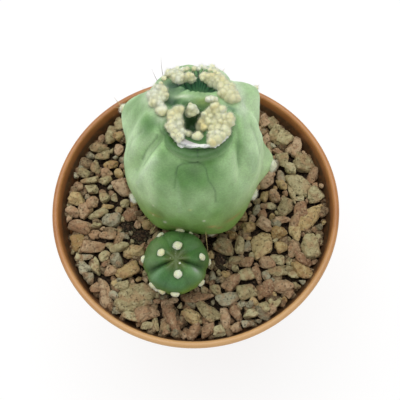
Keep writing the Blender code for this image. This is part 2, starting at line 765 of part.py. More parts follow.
def main():
    """Build every piece."""
    for old in list(bpy.data.objects):
        bpy.data.objects.remove(old)
    build_pot(material("terracotta plastic", PLASTIC))
    build_soil(material("potting soil", SOIL))
    build_gravel(material("lava stone", STONE))
    build_stem(material("stem skin", SKIN))
    build_offset(material("offset skin", OFFSET_SKIN))
    build_wool(material("crown wool", WOOL))


main()
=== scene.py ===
"""The looks of a potted two-headed cactus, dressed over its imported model.

Metres, +Z up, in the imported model's own frame: the origin is the middle of the pot's foot, and the
offset grows towards -Y. Run with: blender --background --python scene.py
"""
from __future__ import annotations

import json
import logging
import math
from dataclasses import dataclass
from enum import Enum
from typing import Any, Sequence

import bmesh
import bpy
import numpy as np
from mathutils import Matrix, Vector

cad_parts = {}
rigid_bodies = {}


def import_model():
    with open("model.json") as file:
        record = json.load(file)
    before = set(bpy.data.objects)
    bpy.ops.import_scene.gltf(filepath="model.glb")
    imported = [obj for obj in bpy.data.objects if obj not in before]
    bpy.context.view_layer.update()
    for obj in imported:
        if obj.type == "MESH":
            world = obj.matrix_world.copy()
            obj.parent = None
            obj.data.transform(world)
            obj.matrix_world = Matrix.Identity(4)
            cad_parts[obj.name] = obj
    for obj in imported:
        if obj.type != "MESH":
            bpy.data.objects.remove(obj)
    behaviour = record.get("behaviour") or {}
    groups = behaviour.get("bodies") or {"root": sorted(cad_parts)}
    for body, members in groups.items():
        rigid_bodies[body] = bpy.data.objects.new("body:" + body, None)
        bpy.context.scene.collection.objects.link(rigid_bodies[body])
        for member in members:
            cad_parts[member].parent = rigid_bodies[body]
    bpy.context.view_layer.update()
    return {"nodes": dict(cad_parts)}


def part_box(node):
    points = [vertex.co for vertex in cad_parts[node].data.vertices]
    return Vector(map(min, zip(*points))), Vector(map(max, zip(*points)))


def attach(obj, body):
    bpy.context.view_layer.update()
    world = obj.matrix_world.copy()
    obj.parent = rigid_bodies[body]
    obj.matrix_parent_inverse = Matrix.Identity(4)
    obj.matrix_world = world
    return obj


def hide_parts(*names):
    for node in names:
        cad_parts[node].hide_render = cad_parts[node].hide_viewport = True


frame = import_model()

LOG = logging.getLogger("cactus")
MM = 0.001
BODY = "root"

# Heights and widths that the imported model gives.
POT_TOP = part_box("pot")[1].z
POT_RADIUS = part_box("pot")[1].x
GROUND = POT_TOP - 5.0 * MM
GRAVEL_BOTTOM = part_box("gravel")[0].z

Colour = tuple[float, float, float]
Pair = tuple[float, float]
Rows = tuple[tuple[float, ...], ...]
Arrays = tuple[np.ndarray, np.ndarray]
Socket = bpy.types.NodeSocket
Draws = np.random.Generator


class Family(Enum):
    """The kinds of lava stone in the dressing, with a share of each."""

    ROSE = ("rose", 0.38)
    OLIVE = ("olive", 0.30)
    OCHRE = ("ochre", 0.17)
    GREY = ("grey", 0.15)

    @property
    def title(self) -> str:
        """The word used in this family's names."""
        return self.value[0]

    @property
    def share(self) -> float:
        """The share of the smaller stones that are of this family."""
        return self.value[1]


# The large stones, read off the enlarged photograph: for each the pixel of its middle, across
# and down, its half length and half width in pixels, and its turn in degrees.
SEEN: dict[Family, Rows] = {
    Family.ROSE: (
        (118.5, 148, 6, 5, 90), (107, 172, 5.5, 4.5, 0), (78, 184.5, 6, 5, 0), (121, 186, 9, 7.5, -60),
        (93, 201.5, 6, 6, 0), (84.5, 210.5, 7, 7, 0), (72, 210.5, 6.5, 5.5, 0), (132, 213, 7.8, 6.8, 0),
        (79, 225.5, 11.5, 7.5, 0), (95, 233, 6.5, 4.7, 0), (108.5, 234, 8, 6, 0), (92, 246, 11.5, 7, 0),
        (109, 271.5, 7, 6.3, 0), (101, 294, 15.5, 7.3, 110), (93, 289, 5.5, 5, 90),
        (147, 312.5, 10.6, 9.2, 0), (172, 316.5, 18.5, 8, -55), (164.5, 335.5, 4.3, 3.2, 0),
        (193.7, 330.5, 8, 6.7, 90), (207.5, 331, 9.5, 6.3, 90), (196, 297.5, 16, 4.6, 4),
        (225.5, 317.5, 10, 6, -60), (237.5, 313.5, 9.5, 5.6, -62), (237, 328, 6.3, 4.8, 0),
        (274.5, 313.5, 5.5, 5.5, 20), (231.5, 284, 11.5, 6.8, 48), (266.5, 288.8, 8, 7, 90),
        (258, 274, 8.8, 4.8, 105), (247, 261.7, 7.2, 6.3, -30), (263.5, 222.5, 7.6, 7.6, 0),
        (294.5, 248.5, 8.8, 5.8, 90), (266.5, 261.5, 7.7, 5.5, 0), (302.5, 258.5, 10.5, 5.3, -25),
        (282.5, 284.5, 10.6, 8, 20), (290, 292.5, 6, 5, 0), (302.5, 210, 9.5, 7.4, 90),
        (295, 219.5, 6.6, 5.3, 90), (284, 218.5, 8.4, 4.2, 0), (317.5, 172, 7.4, 5.7, 90),
        (266.5, 180, 8.2, 6.7, 90), (274, 195, 5.7, 5.7, 0), (262, 212.5, 5.5, 4.8, 90),
        (303, 142, 9.6, 5.7, 100), (265, 117.5, 7.5, 5.3, 90), (292, 148.5, 7.2, 6.4, -15),
        (277, 149.5, 6.3, 3.6, -20), (267.5, 136.5, 5.2, 4.3, 90)),
    Family.OLIVE: (
        (117, 120, 6, 5.5, 90), (105, 130, 9, 6.5, 100), (96, 144.5, 10.5, 5.5, 5), (103, 154.5, 7, 5, 0),
        (96, 167.5, 7.5, 5.5, 90), (83, 172, 6, 5.5, 0), (90, 180, 8.5, 3.8, 0), (105, 179.5, 8, 4.3, 0),
        (91.5, 188.5, 6, 5, 0), (104, 197, 5.5, 5, 0), (115, 198, 4.5, 3.8, 90), (125, 202, 4.5, 4.5, 0),
        (99, 212, 10.5, 4.5, 10), (95, 223.5, 5, 4.5, 0), (119.5, 246, 9.5, 5, 35),
        (105, 254.5, 5.8, 5.2, 0), (95.5, 266, 9, 5.7, 90), (121.5, 285, 7.3, 4.6, 25),
        (133, 297.5, 21, 12.5, 41), (130.5, 320, 9.3, 6.5, -20), (145.5, 327.3, 5.7, 5, 0),
        (155, 326, 8, 4.6, 90), (164.5, 326, 7.3, 4.7, 120), (207.5, 311, 13.5, 8, -52),
        (221, 331.5, 7.2, 5.7, 0), (250.5, 313.5, 7.6, 5.7, 0), (264, 305.5, 6.3, 5.8, 90),
        (248.5, 291, 11.2, 8.6, 0), (214.5, 288.5, 8.8, 5.3, -60), (247, 273.3, 8.7, 6.3, 0),
        (225.5, 247, 10.5, 7.5, -35), (240, 243.5, 9, 5.5, 100), (278, 258.5, 8, 5, -25),
        (283, 269.3, 13.8, 5.2, 5), (295.5, 273.5, 6.4, 4.2, 0), (300.5, 288, 5.5, 3.8, 0),
        (276, 301.5, 7, 5, 20), (287, 203.5, 9, 4.3, 110), (285.5, 206.5, 8.2, 7.4, 90),
        (311.5, 245.5, 12, 9, -60), (322.5, 237.5, 8, 5, 90), (299, 182.5, 12.2, 10.2, 0),
        (305, 162, 12.2, 8.8, -15), (282.5, 158.5, 7.6, 6.6, 90), (290.5, 167.5, 6.3, 4.6, -20),
        (317.5, 193.5, 7.7, 7.7, 0), (300.5, 197.5, 4.6, 3.8, 0), (292.5, 194, 10.5, 3.6, -68),
        (287.5, 131, 9.4, 8.2, 90), (275.5, 132.5, 7.3, 5.7, 90), (276, 119, 6.3, 6.3, 0)),
    Family.OCHRE: (
        (118.5, 135.5, 6.5, 4.5, 0), (111.5, 163, 7.5, 4, 10), (118, 171.5, 5, 4, 0),
        (77, 198.5, 8, 6, -20), (107, 205.5, 5.5, 2.7, 0), (74, 240.5, 9, 7.3, 90),
        (132.5, 250.5, 9.5, 8.5, 30), (129, 269.5, 12.3, 8.3, 0), (190, 314.5, 10, 7.8, -10),
        (255.5, 301.5, 5.5, 4, -50), (232.5, 235, 5.3, 4.8, 0), (263, 244, 12.4, 10.8, 90),
        (248.5, 226.5, 8.4, 6.3, -15), (282.5, 246, 7.2, 6.3, 0), (279.5, 231, 7.8, 6.4, 10),
        (295.5, 232, 7.4, 5.7, 90), (307, 271, 9.8, 8.3, 0), (316, 215.5, 18, 10.5, 50),
        (282.5, 183.5, 7.3, 4.6, -35), (264.5, 195.5, 5.4, 5.2, 90)),
    Family.GREY: (
        (90.5, 154.5, 5, 4, 0), (82, 163, 5.5, 4.5, 0), (74, 175, 3, 3, 0), (111, 218.5, 9.5, 6.5, 25),
        (116, 259, 6.8, 6.8, 0), (86, 256, 6, 3.3, 0), (80, 263, 5.3, 3.8, 0), (83, 269.5, 6.3, 5, 0),
        (86, 279.3, 6, 5.6, 90), (113, 294.5, 5, 5, 0), (115, 314.5, 6.5, 3.8, 0), (174.5, 335.5, 5, 4, 0),
        (190, 303.5, 5.3, 3.8, 0), (229, 298.5, 14.5, 6, 12), (249.5, 326.5, 6.3, 4, 0),
        (264, 314, 8, 5.5, -20), (241, 303.5, 5.3, 4.2, 0), (250, 304, 3.8, 3.7, 90),
        (212, 274, 5.7, 4, 90), (266.5, 274.5, 5.2, 4.3, 90), (248.5, 246, 6, 4, 90),
        (276, 223, 4.8, 4.3, 0), (281.5, 175, 5.5, 4.7, -30), (256, 209, 6, 4, 90),
        (272.5, 144, 3.7, 3.3, 0), (275, 165.5, 5, 4.6, 90)),
}


# Numbers and colours

def linear(red: float, green: float, blue: float) -> Colour:
    """Turn a display colour of 0 to 255 into linear light.

    Args:
        red: Red, 0 to 255.
        green: Green, 0 to 255.
        blue: Blue, 0 to 255.

    Returns:
        The three linear values, 0 to 1.
    """
    shares = (value / 255.0 for value in (red, green, blue))
    return tuple(share / 12.92 if share <= 0.04045 else ((share + 0.055) / 1.055) ** 2.4
                 for share in shares)


def opaque(colour: Colour) -> tuple[float, float, float, float]:
    """Add full opacity to a linear colour."""
    return (*colour, 1.0)


def bell(value: np.ndarray) -> np.ndarray:
    """A smooth hump, 1 at zero and near 0 beyond 2."""
    return np.exp(-np.asarray(value) ** 2)


def ramp(value: np.ndarray, low: float, high: float) -> np.ndarray:
    """Rise smoothly from 0 to 1.

    Args:
        value: The values to judge.
        low: Where the rise starts.
        high: Where the rise ends.

    Returns:
        0 below low, 1 above high, smooth between.
    """
    share = np.clip((np.asarray(value) - low) / (high - low), 0.0, 1.0)
    return share * share * (3.0 - 2.0 * share)


def turn_between(angle: np.ndarray, other: np.ndarray) -> np.ndarray:
    """Signed angle in degrees from other to angle, within half a turn."""
    return (angle - other + 180.0) % 360.0 - 180.0


def blend(first: np.ndarray, second: np.ndarray, share: np.ndarray) -> np.ndarray:
    """Mix two colours, or arrays of them, by a share for each point.

    Args:
        first: Colour at share 0.
        second: Colour at share 1.
        share: One share for each point.

    Returns:
        One colour for each point.
    """
    share = np.asarray(share)[..., None]
    return np.asarray(first) * (1.0 - share) + np.asarray(second) * share


def spot(angle: np.ndarray, level: np.ndarray, where: Sequence[float]) -> np.ndarray:
    """How near places on a flank are to the middle of a spot.

    Args:
        angle: Their angles in degrees.
        level: Their heights or latitudes.
        where: The spot's angle and height, and its half size in both.

    Returns:
        1 at the spot's middle, fading to 0 outside it.
    """
    centre, height, wide, tall = where
    return bell(turn_between(angle, centre) / wide) * bell((level - height) / tall)


def scattered(count: int, random: Draws) -> np.ndarray:
    """Random unit directions, one in each row."""
    courses = random.normal(size=(count, 3))
    return courses / np.linalg.norm(courses, axis=1)[:, None]


def waves(points: np.ndarray, size: float, count: int, seed: int) -> np.ndarray:
    """A smooth random field in space, made of plane waves.

    Args:
        points: Places, in metres.
        size: Typical size of one patch, in metres.
        count: How many waves are summed.
        seed: Seed of the directions.

    Returns:
        One value for each point, about -1 to 1.
    """
    random = np.random.default_rng(seed)
    courses = scattered(count, random)
    lengths = math.tau / (size * random.uniform(1.4, 3.2, count))
    phases = random.uniform(0.0, math.tau, count)
    total = np.zeros(points.shape[:-1])
    for course, length, phase in zip(courses, lengths, phases):
        total += np.sin(points @ course * length + phase)
    return total / math.sqrt(count)


def distance_to_path(points: np.ndarray, path: np.ndarray) -> np.ndarray:
    """Distance of each point to the nearest part of a line of points.

    Args:
        points: Places, with the coordinates last.
        path: The line's points, in order.

    Returns:
        One distance for each place.
    """
    nearest = np.full(points.shape[:-1], np.inf)
    for start, end in zip(path, path[1:]):
        along = end - start
        share = np.clip((points - start) @ along / (along @ along), 0.0, 1.0)
        gap = np.linalg.norm(points - start - share[..., None] * along, axis=-1)
        nearest = np.minimum(nearest, gap)
    return nearest


# Node trees

class NodeWriter:
    """Writes the nodes of one tree in short calls."""

    def __init__(self, tree: bpy.types.NodeTree) -> None:
        """Keep the tree to write to."""
        self.tree = tree

    def add(self, kind: str, inputs: dict[Any, Any] | None = None, **settings: Any) -> bpy.types.Node:
        """Add a node.

        Args:
            kind: The node's type name.
            inputs: Value, node or socket for each input, by name or place.
            **settings: The node's own settings.

        Returns:
            The new node.
        """
        node = self.tree.nodes.new(kind)
        for name, value in settings.items():
            setattr(node, name, value)
        for key, value in (inputs or {}).items():
            self.feed(node.inputs[key], value)
        return node

    def feed(self, socket: Socket, value: Any) -> None:
        """Link or set one input.

        Args:
            socket: The input.
            value: A node, whose first output is taken, a socket, or a plain value.
        """
        if isinstance(value, bpy.types.Node):
            value = value.outputs[0]
        if isinstance(value, Socket):
            self.tree.links.new(value, socket)
        else:
            socket.default_value = value

    def math(self, operation: str, first: Any, second: Any = 0.0) -> Socket:
        """Add a Math node.

        Args:
            operation: Blender's name for the operation.
            first: First value.
            second: Second value, where the operation has one.

        Returns:
            The result's socket.
        """
        node = self.add("ShaderNodeMath", {0: first, 1: second}, operation=operation)
        return node.outputs[0]


class SurfaceWriter(NodeWriter):
    """Writes one material around a Principled shader."""

    def __init__(self, name: str, roughness: float, specular: float = 0.5, **levels: Any) -> None:
        """Start a material.

        Args:
            name: The material's name.
            roughness: Roughness all over the surface.
            specular: Specular level all over the surface.
            **levels: More of the shader's inputs, with _ for each space in a name.
        """
        self.material = bpy.data.materials.new(name)
        self.material.use_nodes = True
        super().__init__(self.material.node_tree)
        self.shader = self.tree.nodes["Principled BSDF"]
        for key, level in {"Roughness": roughness, "Specular IOR Level": specular, **levels}.items():
            self.shader.inputs[key.replace("_", " ")].default_value = level
        self.place = self.add("ShaderNodeTexCoord").outputs["Object"]

    def noise(self, size_mm: float, detail: float = 3.0, stretch: Sequence[float] = (1, 1, 1)) -> Socket:
        """Add a noise pattern in space.

        Args:
            size_mm: Size of one patch in millimetres.
            detail: How many finer layers it has.
            stretch: How much finer the pattern is along each axis.

        Returns:
            The pattern's value, about 0.3 to 0.7.
        """
        mapped = self.add("ShaderNodeMapping", {"Vector": self.place, "Scale": tuple(stretch)})
        node = self.add("ShaderNodeTexNoise", {"Vector": mapped, "Scale": 1000.0 / size_mm,
                                               "Detail": detail, "Roughness": 0.55})
        return node.outputs[0]

    def cells(self, size_mm: float) -> Socket:
        """Add a pattern of the distance to scattered points, in cell sizes."""
        node = self.add("ShaderNodeTexVoronoi", {"Vector": self.place, "Scale": 1000.0 / size_mm})
        return node.outputs["Distance"]

    def attribute(self, name: str, output: str = "Fac") -> Socket:
        """Read one of the mesh's own attributes."""
        return self.add("ShaderNodeAttribute", attribute_name=name).outputs[output]

    def remap(self, value: Any, low: float, high: float, start: float = 0.0, end: float = 1.0) -> Socket:
        """Stretch a range of values onto another, smoothly and clamped.

        Args:
            value: The value to stretch.
            low: Value that gives start.
            high: Value that gives end.
            start: Result at low.
            end: Result at high.

        Returns:
            The stretched value.
        """
        node = self.add("ShaderNodeMapRange", {0: value, 1: low, 2: high, 3: start, 4: end},
                        interpolation_type="SMOOTHSTEP")
        return node.outputs[0]

    def mix(self, share: Any, first: Any, second: Any, how: str = "MIX") -> Socket:
        """Mix two colours.

        Args:
            share: Share of the second.
            first: First colour, linear, or a socket.
            second: Second colour, linear, or a socket.
            how: Blender's name for the kind of mix.

        Returns:
            The mixed colour.
        """
        colours = [opaque(value) if isinstance(value, tuple) else value for value in (first, second)]
        node = self.add("ShaderNodeMix", {0: share, 6: colours[0], 7: colours[1]},
                        data_type="RGBA", blend_type=how)
        return node.outputs[2]

    def grey(self, value: Any) -> Socket:
        """Turn a value into a grey colour."""
        return self.add("ShaderNodeCombineColor", {0: value, 1: value, 2: value}).outputs[0]

    def bump(self, height: Any, depth_mm: float, under: Any = None) -> Socket:
        """Add relief to the surface's shading.

        Args:
            height: The relief's height, 0 to 1.
            depth_mm: Depth of the relief in millimetres.
            under: Another relief that this one lies on.

        Returns:
            The bent normal.
        """
        inputs = {"Height": height, "Distance": depth_mm * MM, "Strength": 1.0}
        if under is not None:
            inputs["Normal"] = under
        return self.add("ShaderNodeBump", inputs).outputs[0]

    def finish(self, colour: Any, normal: Any = None) -> bpy.types.Material:
        """Link the colour and the relief to the shader.

        Args:
            colour: Base colour.
            normal: Bent normal, where there is one.

        Returns:
            The finished material.
        """
        self.feed(self.shader.inputs["Base Color"], colour)
        if normal is not None:
            self.feed(self.shader.inputs["Normal"], normal)
        return self.material


class GeometryWriter(NodeWriter):
    """Writes one Geometry Nodes tree and applies it to an object."""

    def __init__(self, name: str) -> None:
        """Start a tree with one geometry input and one output."""
        super().__init__(bpy.data.node_groups.new(name, "GeometryNodeTree"))
        self.tree.interface.new_socket("Geometry", in_out="INPUT", socket_type="NodeSocketGeometry")
        self.tree.interface.new_socket("Geometry", in_out="OUTPUT", socket_type="NodeSocketGeometry")
        self.entry = self.tree.nodes.new("NodeGroupInput")
        self.exit = self.tree.nodes.new("NodeGroupOutput")
        self.values: dict[str, Any] = {}

    def given(self, name: str, value: Any) -> Socket:
        """Add a named input and the value that it will have.

        Args:
            name: The input's name.
            value: The value set on the modifier, whose type is the input's too.

        Returns:
            The socket inside the tree.
        """
        kind = f"NodeSocket{type(value).__name__.capitalize()}"
        item = self.tree.interface.new_socket(name, in_out="INPUT", socket_type=kind)
        self.values[item.identifier] = value
        return self.entry.outputs[name]

    def named(self, name: str, kind: str = "FLOAT") -> Socket:
        """Read a named attribute."""
        return self.add("GeometryNodeInputNamedAttribute", {"Name": name}, data_type=kind).outputs[0]

    def finish(self, geometry: Any, material: bpy.types.Material) -> None:
        """End the tree in Realize Instances and Set Material.

        Args:
            geometry: The geometry that the tree has made.
            material: The finish of all of it.
        """
        finish = self.given("Finish", material)
        real = self.add("GeometryNodeRealizeInstances", {"Geometry": geometry})
        dressed = self.add("GeometryNodeSetMaterial", {"Geometry": real, "Material": finish})
        self.feed(self.exit.inputs[0], dressed)

    def apply(self, piece: bpy.types.Object) -> None:
        """Run the tree on an object and keep the result as its plain mesh.

        Args:
            piece: The object that goes into the tree.
        """
        modifier = piece.modifiers.new(self.tree.name, "NODES")
        modifier.node_group = self.tree
        for identifier, value in self.values.items():
            modifier[identifier] = value
        settle(piece)


# Meshes

def settle(piece: bpy.types.Object) -> None:
    """Keep what an object's modifiers make of it as its plain mesh.

    Args:
        piece: The object.
    """
    bpy.context.view_layer.update()
    evaluated = piece.evaluated_get(bpy.context.evaluated_depsgraph_get())
    old, piece.data = piece.data, bpy.data.meshes.new_from_object(evaluated)
    piece.modifiers.clear()
    bpy.data.meshes.remove(old)
    piece.data.name = piece.name


def keep(piece: bpy.types.Object, name: str, values: Any, kind: str = "FLOAT") -> None:
    """Keep one value for each point of an object in a named attribute.

    Args:
        piece: The object.
        name: The attribute's name.
        values: The values, in the order of the points.
        kind: Blender's name for their type.
    """
    slot = {"FLOAT_VECTOR": "vector", "FLOAT_COLOR": "color"}.get(kind, "value")
    flat = np.asarray(values, np.int32 if kind == "INT" else np.float32).ravel()
    piece.data.attributes.new(name, kind, "POINT").data.foreach_set(slot, flat)


def stacked(vectors: Sequence[Vector]) -> np.ndarray:
    """Vectors as the rows of an array."""
    return np.array([tuple(vector) for vector in vectors])


def linked(name: str, data: bpy.types.ID) -> bpy.types.Object:
    """An object of some data, linked to the scene."""
    piece = bpy.data.objects.new(name, data)
    bpy.context.scene.collection.objects.link(piece)
    return piece


def mesh_object(name: str, points: np.ndarray, faces: Sequence[Sequence[int]],
                edges: Sequence[Sequence[int]] = ()) -> bpy.types.Object:
    """Make a smooth-shaded mesh object at the origin.

    Args:
        name: The object's and the mesh's name.
        points: The points.
        faces: The faces.
        edges: Loose edges, where the mesh is a set of lines.

    Returns:
        The object, linked to the scene.
    """
    mesh = bpy.data.meshes.new(name)
    mesh.from_pydata(np.asarray(points).tolist(), edges, faces)
    mesh.shade_smooth()
    return linked(name, mesh)


def skin_faces(rows: int, columns: int) -> list[list[int]]:
    """Faces of a closed skin whose rings go up, with a point at each pole.

    Args:
        rows: How many rings.
        columns: How many points in a ring.

    Returns:
        The faces, where the lower pole comes after all the rings and the upper one last.
    """
    place = np.arange(rows * columns).reshape(rows, columns)
    after = np.roll(place, -1, axis=1)
    quads = np.stack((place[:-1], after[:-1], after[1:], place[1:]), axis=-1).reshape(-1, 4)
    pole = np.full(columns, rows * columns)
    low = np.column_stack((pole, after[0], place[0]))
    high = np.column_stack((pole + 1, place[-1], after[-1]))
    return [*quads.tolist(), *low.tolist(), *high.tolist()]


def ball(level: int) -> tuple[np.ndarray, list[list[int]]]:
    """Points and faces of a unit ball of even triangles.

    Args:
        level: How finely it is divided.

    Returns:
        The points and the faces.
    """
    shape = bmesh.new()
    bmesh.ops.create_icosphere(shape, subdivisions=level, radius=1.0)
    points = np.array([point.co[:] for point in shape.verts])
    faces = [[point.index for point in face.verts] for face in shape.faces]
    shape.free()
    return points, faces


def dress(piece: bpy.types.Object, node: str) -> None:
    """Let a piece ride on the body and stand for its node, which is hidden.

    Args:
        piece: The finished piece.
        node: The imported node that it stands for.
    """
    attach(piece, BODY)
    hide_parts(node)
    LOG.info("%s: %d faces", piece.name, len(piece.data.polygons))


# Finishes

@dataclass(frozen=True)
class PotFinish:
    """Satin terracotta-coloured plastic with handling marks, a water-line stain inside deepened as painted
    shade, painted shade on the inner wall, and painted light on the front of the lip.
    """

    clay: Colour = linear(198, 139, 85)
    deep: Colour = linear(152, 90, 49)
    grime: Colour = linear(84, 61, 41)
    chalk: Colour = linear(206, 162, 120)
    bleached: Colour = linear(232, 191, 134)
    roughness: float = 0.38
    band: float = 9.0 * MM
    # Where each zone begins and ends, in from the rim's edge, down from its top, or along Y.
    wall_in: Pair = (2.1 * MM, 2.6 * MM)
    stain_down: Pair = (2.6 * MM, 4.4 * MM)
    lip_down: Pair = (5.0 * MM, 2.5 * MM)
    faded_along: Pair = (-4.0 * MM, -50.0 * MM)

    def make(self) -> bpy.types.Material:
        """Write the material."""
        write = SurfaceWriter("terracotta plastic", self.roughness, specular=0.45)
        parts = write.add("ShaderNodeSeparateXYZ", {0: write.place})
        flat = write.add("ShaderNodeCombineXYZ", {0: parts.outputs[0], 1: parts.outputs[1]})
        reach = write.add("ShaderNodeVectorMath", {0: flat}, operation="LENGTH").outputs["Value"]
        level = parts.outputs[2]
        # The inner wall below the band, which gets painted shade.
        inside = write.math(
            "MULTIPLY", write.remap(reach, *(POT_RADIUS - depth for depth in self.wall_in)),
            write.remap(level, POT_TOP - self.band, POT_TOP - self.band + 0.4 * MM))
        low = write.remap(level, *(POT_TOP - depth for depth in self.stain_down))
        mottle = write.remap(write.noise(9.0, 4.0), 0.3, 0.7, 0.12, 0.5)
        colour = write.mix(mottle, self.clay, self.deep)
        # Painted light: the front of the lip is lighter, as if lit more strongly from the front.
        lip = write.remap(level, *(POT_TOP - depth for depth in self.lip_down))
        front = write.remap(parts.outputs[1], *self.faded_along, 0.0, 0.6)
        colour = write.mix(write.math("MULTIPLY", lip, front), colour, self.bleached)
        # Painted shade: the inner wall is darkened towards the deep tone.
        colour = write.mix(write.math("MULTIPLY", inside, 0.75), colour, self.deep)
        # A water-line stain on the inner wall, darkened further as painted shade under the lip.
        grime_and_shade_share = write.math("MULTIPLY", write.math("MULTIPLY", inside, low),
                           write.remap(write.noise(2.4, 5.0), 0.34, 0.56, 0.75, 1.0))
        colour = write.mix(grime_and_shade_share, colour, self.grime)
        scuff = write.remap(write.noise(0.7, 2.0, (1.0, 1.0, 0.3)), 0.64, 0.76, 0.0, 0.35)
        colour = write.mix(scuff, colour, self.chalk)
        return write.finish(colour, write.bump(write.noise(0.5, 4.0), 0.03))


@dataclass(frozen=True)
class SoilFinish:
    """Dark crumbly peat with paler specks."""

    name: str = "potting soil"
    dark: Colour = linear(38, 30, 24)
    warm: Colour = linear(84, 66, 50)
    speck: Colour = linear(150, 136, 112)
    roughness: float = 0.95

    def make(self) -> bpy.types.Material:
        """Write the material."""
        write = SurfaceWriter(self.name, self.roughness, specular=0.2)
        crumbs = write.noise(0.9, 6.0)
        colour = write.mix(write.remap(crumbs, 0.38, 0.66), self.dark, self.warm)
        specks = write.remap(write.cells(0.8), 0.22, 0.12)
        rare = write.remap(write.noise(1.6, 1.0), 0.56, 0.62)
        colour = write.mix(write.math("MULTIPLY", specks, rare), colour, self.speck)
        return write.finish(colour, write.bump(crumbs, 0.6))


@dataclass(frozen=True)
class StoneFinish:
    """Rough porous lava stone, whose shade follows each stone's own tint."""

    name: str
    light: Colour
    middle: Colour
    dark: Colour
    dust: Colour = linear(198, 187, 148)
    pore: Colour = linear(70, 54, 40)
    rust: Colour = linear(172, 132, 97)
    roughness: float = 0.94

    def make(self) -> bpy.types.Material:
        """Write the material."""
        write = SurfaceWriter(self.name, self.roughness, specular=0.2)
        tint = write.attribute("tint")
        colour = write.mix(write.remap(tint, 0.0, 0.5), self.dark, self.middle)
        colour = write.mix(write.remap(tint, 0.5, 1.0), colour, self.light)
        patches = write.noise(2.0, 5.0)
        colour = write.mix(write.remap(patches, 0.50, 0.62, 0.0, 0.6), colour, self.dark)
        colour = write.mix(write.remap(patches, 0.47, 0.36, 0.0, 0.6), colour, self.light)
        grain = write.noise(0.6, 6.0)
        colour = write.mix(write.remap(grain, 0.52, 0.64, 0.0, 0.45), colour, self.dust)
        rusty = write.remap(write.noise(3.1, 3.0), 0.48, 0.62, 0.0, 0.45)
        colour = write.mix(rusty, colour, self.rust)
        pits = write.remap(write.noise(0.75, 7.0), 0.42, 0.32)
        colour = write.mix(write.math("MULTIPLY", pits, 0.5), colour, self.pore)
        rough = write.bump(write.noise(1.3, 8.0), 0.9)
        holes = write.bump(write.math("SUBTRACT", 1.0, pits), 0.3, rough)
        return write.finish(colour, holes)


@dataclass(frozen=True)
class SkinFinish:
    """Waxy plant skin: its painted colour, broken up by a fine mottle and pale dots."""

    name: str
    roughness: float
    dots: Colour
    dot_share: float
    mottle: float

    def make(self) -> bpy.types.Material:
        """Write the material."""
        write = SurfaceWriter(self.name, self.roughness, 0.4, Subsurface_Weight=0.06,
                              Subsurface_Radius=(0.6, 1.0, 0.4), Subsurface_Scale=1.2 * MM)
        base = write.attribute("paint", "Color")
        fine = write.remap(write.noise(0.55, 5.0), 0.3, 0.7, 1.0 - self.mottle, 1.0 + self.mottle)
        broad = write.remap(write.noise(4.5, 3.0, (1.0, 1.0, 0.5)), 0.3, 0.7,
                            1.0 - self.mottle, 1.0 + self.mottle)
        shade = write.grey(write.math("MULTIPLY", fine, broad))
        colour = write.mix(1.0, base, shade, "MULTIPLY")
        dots = write.remap(write.cells(0.42), 0.26, 0.14, 0.0, self.dot_share)
        colour = write.mix(dots, colour, self.dots)
        return write.finish(colour, write.bump(write.noise(0.4, 4.0), 0.03))


@dataclass(frozen=True)
class WoolFinish:
    """Felted plant wool: straw-coloured hearts, pale cream round them, olive painted shade under and between
    the tufts.
    """

    name: str = "plant wool"
    pale: Colour = linear(245, 249, 226)
    cream: Colour = linear(242, 241, 196)
    straw: Colour = linear(235, 216, 138)
    fold: Colour = linear(152, 153, 98)
    roughness: float = 1.0

    def make(self) -> bpy.types.Material:
        """Write the material."""
        write = SurfaceWriter(self.name, self.roughness, 0.1, Sheen_Weight=0.35, Sheen_Roughness=0.6,
                              Subsurface_Weight=0.45, Subsurface_Radius=(1.0, 0.9, 0.6),
                              Subsurface_Scale=0.8 * MM)
        warmth = write.attribute("warmth")
        colour = write.mix(write.remap(warmth, 0.0, 0.5), self.pale, self.cream)
        colour = write.mix(write.remap(warmth, 0.5, 1.0), colour, self.straw)
        # Painted shade in the clefts and under the tufts.
        fold = write.math("MULTIPLY", write.attribute("fold"), 0.34)
        colour = write.mix(fold, colour, self.fold)
        strands = write.noise(0.30, 4.0, (1.0, 1.0, 0.5))
        colour = write.mix(write.remap(strands, 0.52, 0.36, 0.0, 0.35), colour, self.pale)
        return write.finish(colour, write.bump(strands, 0.07))


@dataclass(frozen=True)
class SpineFinish:
    """Horn-like spine, from its pale base to a darker tip."""

    base: Colour = linear(226, 202, 140)
    tip: Colour = linear(96, 74, 58)
    roughness: float = 0.35

    def make(self) -> bpy.types.Material:
        """Write the material."""
        write = SurfaceWriter("spine horn", self.roughness)
        colour = write.mix(write.attribute("age"), self.base, self.tip)
        return write.finish(colour, write.bump(write.noise(0.2, 2.0), 0.01))


@dataclass(frozen=True)
class PaperFinish:
    """Dry white skin, peeled back in a torn rim, with painted lilac-grey shade along the inner edge of its
    curl.
    """

    white: Colour = linear(242, 246, 238)
    grey: Colour = linear(190, 190, 196)
    lilac: Colour = linear(176, 170, 174)
    roughness: float = 0.7

    def make(self) -> bpy.types.Material:
        """Write the material."""
        write = SurfaceWriter("torn papery skin", self.roughness, specular=0.3)
        fibres = write.noise(0.7, 5.0)
        colour = write.mix(write.remap(fibres, 0.52, 0.70), self.white, self.grey)
        # Painted shade along the inner edge of the curl.
        colour = write.mix(write.math("MULTIPLY", write.attribute("inner"), 0.8), colour, self.lilac)
        return write.finish(colour, write.bump(fibres, 0.1))


@dataclass(frozen=True)
class FloorFinish:
    """Plain white paper, lit so that shadows on it stay faint."""

    white: Colour = (0.20, 0.20, 0.20)
    worn: Colour = (0.21, 0.21, 0.21)
    glow: float = 0.83

    def make(self) -> bpy.types.Material:
        """Write the material."""
        write = SurfaceWriter("white paper", 0.9, 0.0, Emission_Color=opaque((1.0, 1.0, 1.0)),
                              Emission_Strength=self.glow)
        return write.finish(write.mix(write.noise(30.0, 2.0), self.white, self.worn))


# Studio

